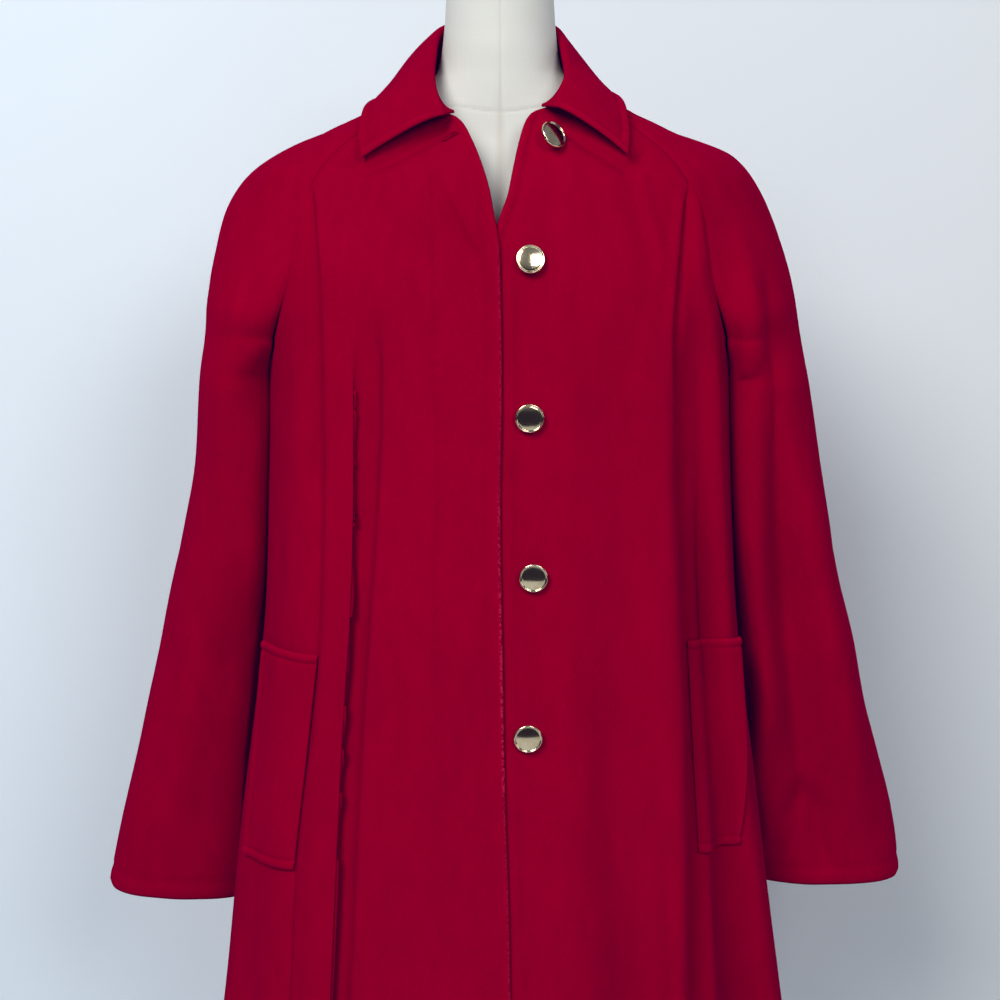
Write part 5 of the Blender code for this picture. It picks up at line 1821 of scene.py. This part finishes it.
@dataclass
class Buttons:
    """Five shank buttons with a slightly domed, polished face inside a raised rim."""

    body: CoatBody
    metal: Material
    radius: float = 0.012
    thick: float = 0.0026
    steps: int = 72
    places: tuple = ((0.0375, 1.3825), (0.0245, 1.285), (0.024, 1.158), (0.028, 1.027),
                     (0.0232, 0.894))
    droop: tuple = ((0.75, 0.1), (0.03, 0.06), (0.02, -0.1), (-0.02, -0.13), (0.0, -0.15))

    def profile(self, top: float, foot: float) -> Line:
        """Radius and height of the face, rim, back and shank, from the centre of the face.

        Args:
            top: Height of the face over the cloth.
            foot: Height of the shank's foot.

        Returns:
            Radius and height of each ring.
        """
        r = self.radius
        dome = [(r * s, top + 0.0005 - 0.0009 * (s / 0.8) ** 2)
                for s in (0.12, 0.25, 0.38, 0.5, 0.62, 0.72, 0.8)]
        rim = [(r * 0.835, top - 0.0006), (r * 0.86, top - 0.0003), (r * 0.885, top + 0.0001),
               (r * 0.92, top + 0.0003), (r * 0.96, top + 0.0001), (r * 0.985, top - 0.0004),
               (r, top - 0.001), (r * 0.985, top - self.thick * 0.75),
               (r * 0.93, top - self.thick * 0.95), (r * 0.85, top - self.thick)]
        shank = [(0.0034, top - self.thick), (0.0024, top - self.thick - 0.0006),
                 (0.0022, 0.0022), (0.0022, foot)]
        return [(0.0, top + 0.0005)] + dome + rim + shank + [(0.0, foot)]

    def build(self) -> list[Thing]:
        """Builds all five, each square to the cloth but for its droop on the shank.

        Returns:
            The buttons.
        """
        pieces = []
        for number, ((x, z), (turn, tip)) in enumerate(zip(self.places, self.droop), start=1):
            angle = self.body.angle_at(np.array([x]), np.array([z]))
            point = self.body.point(angle, np.array([z]), True)[0]
            normal = self.body.normal(angle, np.array([z]), True)[0]
            face = unit(normal + np.array([turn, 0.0, tip]))
            top, foot = (0.0125, 0.0028) if number == 1 else (0.0078, 0.001)
            points, faces = revolve(self.profile(top, foot), self.steps)
            across = unit(np.cross([0.0, 0.0, 1.0], face))
            third = np.cross(face, across)
            world = (points[:, :1] * across + points[:, 1:2] * third + points[:, 2:3] * face
                     + point)
            piece = mesh_object("button_%d_gilt" % number, world, faces, self.metal)
            pieces.append(dress(piece, ("button_%d" % number,)))
        return pieces


@dataclass
class DressForm:
    """The limbless form: canvas torso and neck, wooden cap, iron pole and round base."""

    canvas: Material
    wood: Material
    iron: Material
    steps: int = 160
    rows: int = 190
    pole_radius: float = 0.015
    base_radius: float = 0.18
    base_height: float = 0.016
    # Height, half width, front y, back y, roundness.
    sections: Array = table(
        (0.8, 0.158, -0.098, 0.108, 2.2), (0.84, 0.166, -0.106, 0.118, 2.2),
        (0.9, 0.167, -0.108, 0.12, 2.2), (0.97, 0.15, -0.098, 0.104, 2.2),
        (1.05, 0.125, -0.088, 0.082, 2.2), (1.12, 0.128, -0.096, 0.082, 2.2),
        (1.19, 0.14, -0.112, 0.09, 2.2), (1.24, 0.148, -0.112, 0.096, 2.2),
        (1.29, 0.155, -0.098, 0.1, 2.2), (1.33, 0.162, -0.082, 0.096, 2.2),
        (1.356, 0.166, -0.07, 0.084, 2.1), (1.375, 0.163, -0.062, 0.076, 2.1),
        (1.3912, 0.1475, -0.056, 0.068, 2.1), (1.4039, 0.128, -0.054, 0.062, 2.1),
        (1.413, 0.1057, -0.053, 0.057, 2.1), (1.424, 0.0838, -0.0525, 0.053, 2.0),
        (1.436, 0.066, -0.052, 0.05, 2.0), (1.448, 0.0555, -0.0515, 0.0465, 2.0),
        (1.4625, 0.0515, -0.051, 0.044, 2.0), (1.485, 0.0486, -0.049, 0.042, 2.0),
        (1.51, 0.047, -0.048, 0.041, 2.0))

    def torso(self) -> Thing:
        """Builds the canvas torso: rounded ovals, with seams down the middle and at the neck.

        Returns:
            The torso.
        """
        z = np.concatenate([np.linspace(0.8, 1.36, 90)[:-1], np.linspace(1.36, 1.51, 100)])
        turn = np.linspace(0.0, 2 * np.pi, self.steps, endpoint=False)
        half, front, back, power = [pchip(self.sections, c, z)[:, None] for c in range(1, 5)]
        sine = np.sin(turn)[None, :]
        cosine = np.cos(turn)[None, :]
        x = half * np.sign(sine) * np.abs(sine) ** (2.0 / power)
        depth = np.where(cosine > 0, -front, back)
        y = -np.sign(cosine) * depth * np.abs(cosine) ** (2.0 / power)
        height = z[:, None] + 0.0 * x
        neck_seam = 1.4105 + 0.006 * smooth(0.0, 0.05, np.abs(x)) + 0.03 * smooth(-0.03, 0.05, y)
        at_neck = bump(height - neck_seam, 0.0013)
        at_middle = bump(x, 0.0012)
        groove = 0.0007 * np.maximum(at_neck, at_middle)
        shrink = 1.0 - groove / np.hypot(x, y)
        points = np.stack([x * shrink, y * shrink, height], axis=-1)
        rows, columns = x.shape
        count = rows * columns
        index = np.arange(count).reshape(rows, columns)
        beside = np.roll(index, -1, axis=1)
        ends = np.array([[0.0, 0.0, z[0]], [0.0, -0.0035, z[-1]]])
        low = np.stack([np.full(columns, count), beside[0], index[0]], axis=-1)
        high = np.stack([np.full(columns, count + 1), index[-1], beside[-1]], axis=-1)
        faces = ring_faces(index).tolist() + low.tolist() + high.tolist()
        stitch_and_highlight = np.maximum(bump(height - neck_seam, 0.0009), bump(x, 0.0008))
        values = {"stitch_and_highlight": np.concatenate([stitch_and_highlight.ravel(), [0.0, 0.0]])}
        piece = mesh_object("form_canvas_body", np.concatenate([points.reshape(-1, 3), ends]),
                            faces, self.canvas, values)
        return dress(piece, ("form_torso",))

    def turned(self, name: str, node: str, slot: str, profile: Line,
               steps: int, material: Material, shift_y: float = 0.0) -> None:
        """Builds one turned part on the form's upright axis.

        Args:
            name: Object name.
            node: The node that it replaces.
            slot: Material slot; not used.
            profile: Radius and height of each ring.
            steps: Sides round the axis.
            material: Its finish.
            shift_y: Shift of the axis.
        """
        points, faces = revolve(profile, steps)
        points[:, 1] += shift_y
        dress(mesh_object(name, points, faces, material), (node,))

    def build(self) -> None:
        """Builds the torso, cap, pole and base."""
        self.torso()
        top = float(self.sections[-1, 0]) + 0.0003
        bend = np.linspace(0.0, math.pi / 2, 14)[1:]
        crown = [(0.044 * math.sin(a), top + 0.004 + 0.026 * math.cos(a)) for a in bend]
        cap = [(0.0, top + 0.03)] + crown + [(0.0436, top + 0.0025), (0.0424, top + 0.001),
                                              (0.044, top), (0.0, top)]
        self.turned("neck_cap_wood", "neck_cap", "turned_wood", cap, 96, self.wood, -0.0035)
        low = float(self.sections[0, 0]) - 0.0003
        r = self.pole_radius
        foot = self.base_height + 0.0003
        pole = [(0.0, low), (r - 0.0008, low), (r, low - 0.0008), (r, foot + 0.03),
                (r, foot + 0.0008), (r - 0.0008, foot), (0.0, foot)]
        self.turned("pole_iron", "pole", "painted_iron", pole, 64, self.iron)
        edge = self.base_radius
        h = self.base_height
        arc = np.linspace(0.0, math.pi / 2, 9)
        lip = [(edge - 0.01 + 0.01 * math.sin(a), h - 0.01 + 0.01 * math.cos(a)) for a in arc]
        base = [(0.0, h), (0.03, h)] + lip + [(edge, 0.0012), (edge - 0.0012, 0.0), (0.0, 0.0)]
        self.turned("base_iron", "base", "painted_iron", base, 160, self.iron)


@dataclass
class Studio:
    """Pale wall and floor with painted shade towards their right, soft lights and the camera."""

    wall_y: float = 0.42
    floor_tone: float = 0.62
    sky_strength: float = 0.24
    aim: tuple[float, float, float] = (0.0, 0.0, 1.1)
    eye: tuple[float, float, float] = (0.0, -1.5, 1.281)
    tilt: float = 82.0
    lens: float = 60.0
    wall_colour: Colour = (0.78, 0.87, 0.95, 1.0)
    # Colour that the wall and floor turn to towards their right: painted shade.
    painted_shade_colour: Colour = (0.75, 0.79, 0.82, 1.0)

    # Name, place, size, power and colour of each soft light.
    lamps: tuple = (
        ("window", (-1.25, -2.5, 3.0), 1.4, 89.0, (1.0, 0.985, 0.96)),
        ("second_window", (0.95, -2.5, 2.3), 0.9, 26.0, (0.97, 0.98, 1.0)),
        ("side", (2.3, -0.8, 1.5), 1.0, 4.5, (0.92, 0.96, 1.0)))

    def plane(self, name: str, corners: list[tuple[float, float, float]],
              material: Material) -> None:
        """Adds one stage plane from its four corners."""
        mesh_object(name, np.array(corners), [[0, 1, 2, 3]], material)

    def finish(self, name: str, tone: float) -> Material:
        """Matt paint with a faint mottle and painted shade that darkens and greys it towards the
        right, clear from behind.

        Args:
            name: Material name.
            tone: Brightness, 1 for the wall.

        Returns:
            The material.
        """
        material, graph, shader = blank(name)
        mottle = place_group(graph, Group.MOTTLE, {"Scale": 3.0})
        plain = tuple(c * tone for c in self.wall_colour[:3]) + (1.0,)
        lighter = tuple(min(1.0, c * tone * 1.02) for c in self.wall_colour[:3]) + (1.0,)
        painted_shade = tuple(c * tone for c in self.painted_shade_colour[:3]) + (1.0,)
        colour = graph.mix(mottle.outputs["Mask"], plain, lighter)
        # Painted shade: from x -0.45 to 0.65 m the paint turns darker and greyer towards the right.
        across = graph.add("ShaderNodeSeparateXYZ", {0: graph.place()}).outputs["X"]
        colour = graph.mix(graph.spread(across, (-0.45, 0.65)), colour, painted_shade)
        graph.tree.links.new(colour, shader.inputs["Base Color"])
        shader.inputs["Roughness"].default_value = 0.9
        behind = graph.add("ShaderNodeNewGeometry").outputs["Backfacing"]
        clear = graph.add("ShaderNodeBsdfTransparent")
        mixed = graph.add("ShaderNodeMixShader", {0: behind, 1: shader.outputs[0],
                                                  2: clear.outputs[0]})
        outlet = graph.tree.nodes["Material Output"]
        graph.tree.links.new(mixed.outputs[0], outlet.inputs["Surface"])
        return material

    def area(self, name: str, place: tuple[float, float, float], size: float, power: float,
             colour: tuple[float, float, float]) -> None:
        """Adds one square soft light aimed at the coat.

        Args:
            name: Its name.
            place: Where it stands.
            size: Side of its square.
            power: Watts.
            colour: Its colour.
        """
        lamp = bpy.data.lights.new(name, "AREA")
        lamp.size = size
        lamp.energy = power
        lamp.color = colour
        thing = bpy.data.objects.new(name, lamp)
        thing.location = place
        way = Vector(self.aim) - Vector(place)
        thing.rotation_euler = way.to_track_quat("-Z", "Y").to_euler()
        bpy.context.scene.collection.objects.link(thing)

    def camera(self) -> None:
        """Adds the camera at the picture's place, looking a little down."""
        lens = bpy.data.cameras.new("camera")
        lens.lens = self.lens
        lens.sensor_width = 36.0
        thing = bpy.data.objects.new("camera", lens)
        thing.location = self.eye
        thing.rotation_euler = (math.radians(self.tilt), 0.0, 0.0)
        bpy.context.scene.collection.objects.link(thing)
        bpy.context.scene.camera = thing

    def tone(self) -> None:
        """Plain view transform whose blue is lifted a little in the darks, as in the picture."""
        view = bpy.context.scene.view_settings
        view.view_transform = "Standard"
        view.use_curve_mapping = True
        blue = view.curve_mapping.curves[2]
        blue.points[0].location = (0.0, 0.011)
        view.curve_mapping.update()

    def build(self) -> None:
        """Builds the stage, the lights, the sky and the camera."""
        paint = self.finish("wall_paint", 1.0)
        y = self.wall_y
        ground = self.finish("floor_paint", self.floor_tone)
        self.plane("floor", [(-4, -2.6, 0), (4, -2.6, 0), (4, 5, 0), (-4, 5, 0)], ground)
        self.plane("wall", [(-4, y, 0), (4, y, 0), (4, y, 3.4), (-4, y, 3.4)], paint)
        for lamp in self.lamps:
            self.area(*lamp)
        world = bpy.data.worlds.new("room")
        world.use_nodes = True
        graph = Graph(world.node_tree)
        way = graph.add("ShaderNodeTexCoord").outputs["Generated"]
        height = graph.add("ShaderNodeSeparateXYZ", {0: way}).outputs["Z"]
        low, high = (0.1, 0.09, 0.085, 1.0), (0.74, 0.86, 1.0, 1.0)
        tone = graph.mix(graph.spread(height, (0.04, 0.3)), low, high)
        sky = world.node_tree.nodes["Background"]
        graph.tree.links.new(tone, sky.inputs["Color"])
        sky.inputs["Strength"].default_value = self.sky_strength
        bpy.context.scene.world = world
        self.tone()
        self.camera()
        LOG.info("made the studio")


def main() -> None:
    """Builds the finishes, the coat, the form and the studio, in that order."""
    logging.basicConfig(level=logging.INFO, format="%(name)s: %(message)s")
    nap_group()
    mottle_group()
    wool = WoolFinish().build()
    body = CoatBody()
    fronts = FrontPanels(body, wool)
    sides = SideFronts(body, wool)
    sleeves = Sleeves(body, wool)
    welts = Welts(body, wool)
    for side in Side:
        fronts.build(side)
        sides.build(side)
        sleeves.build(side)
        welts.build(side)
    fronts.buttonhole()
    BackPanel(body, wool).build()
    Collar(body, wool).build()
    Buttons(body, GILT.build()).build()
    DressForm(CanvasFinish().build(), WoodFinish().build(), IRON.build()).build()
    Studio().build()


if __name__ == "__main__":
    main()
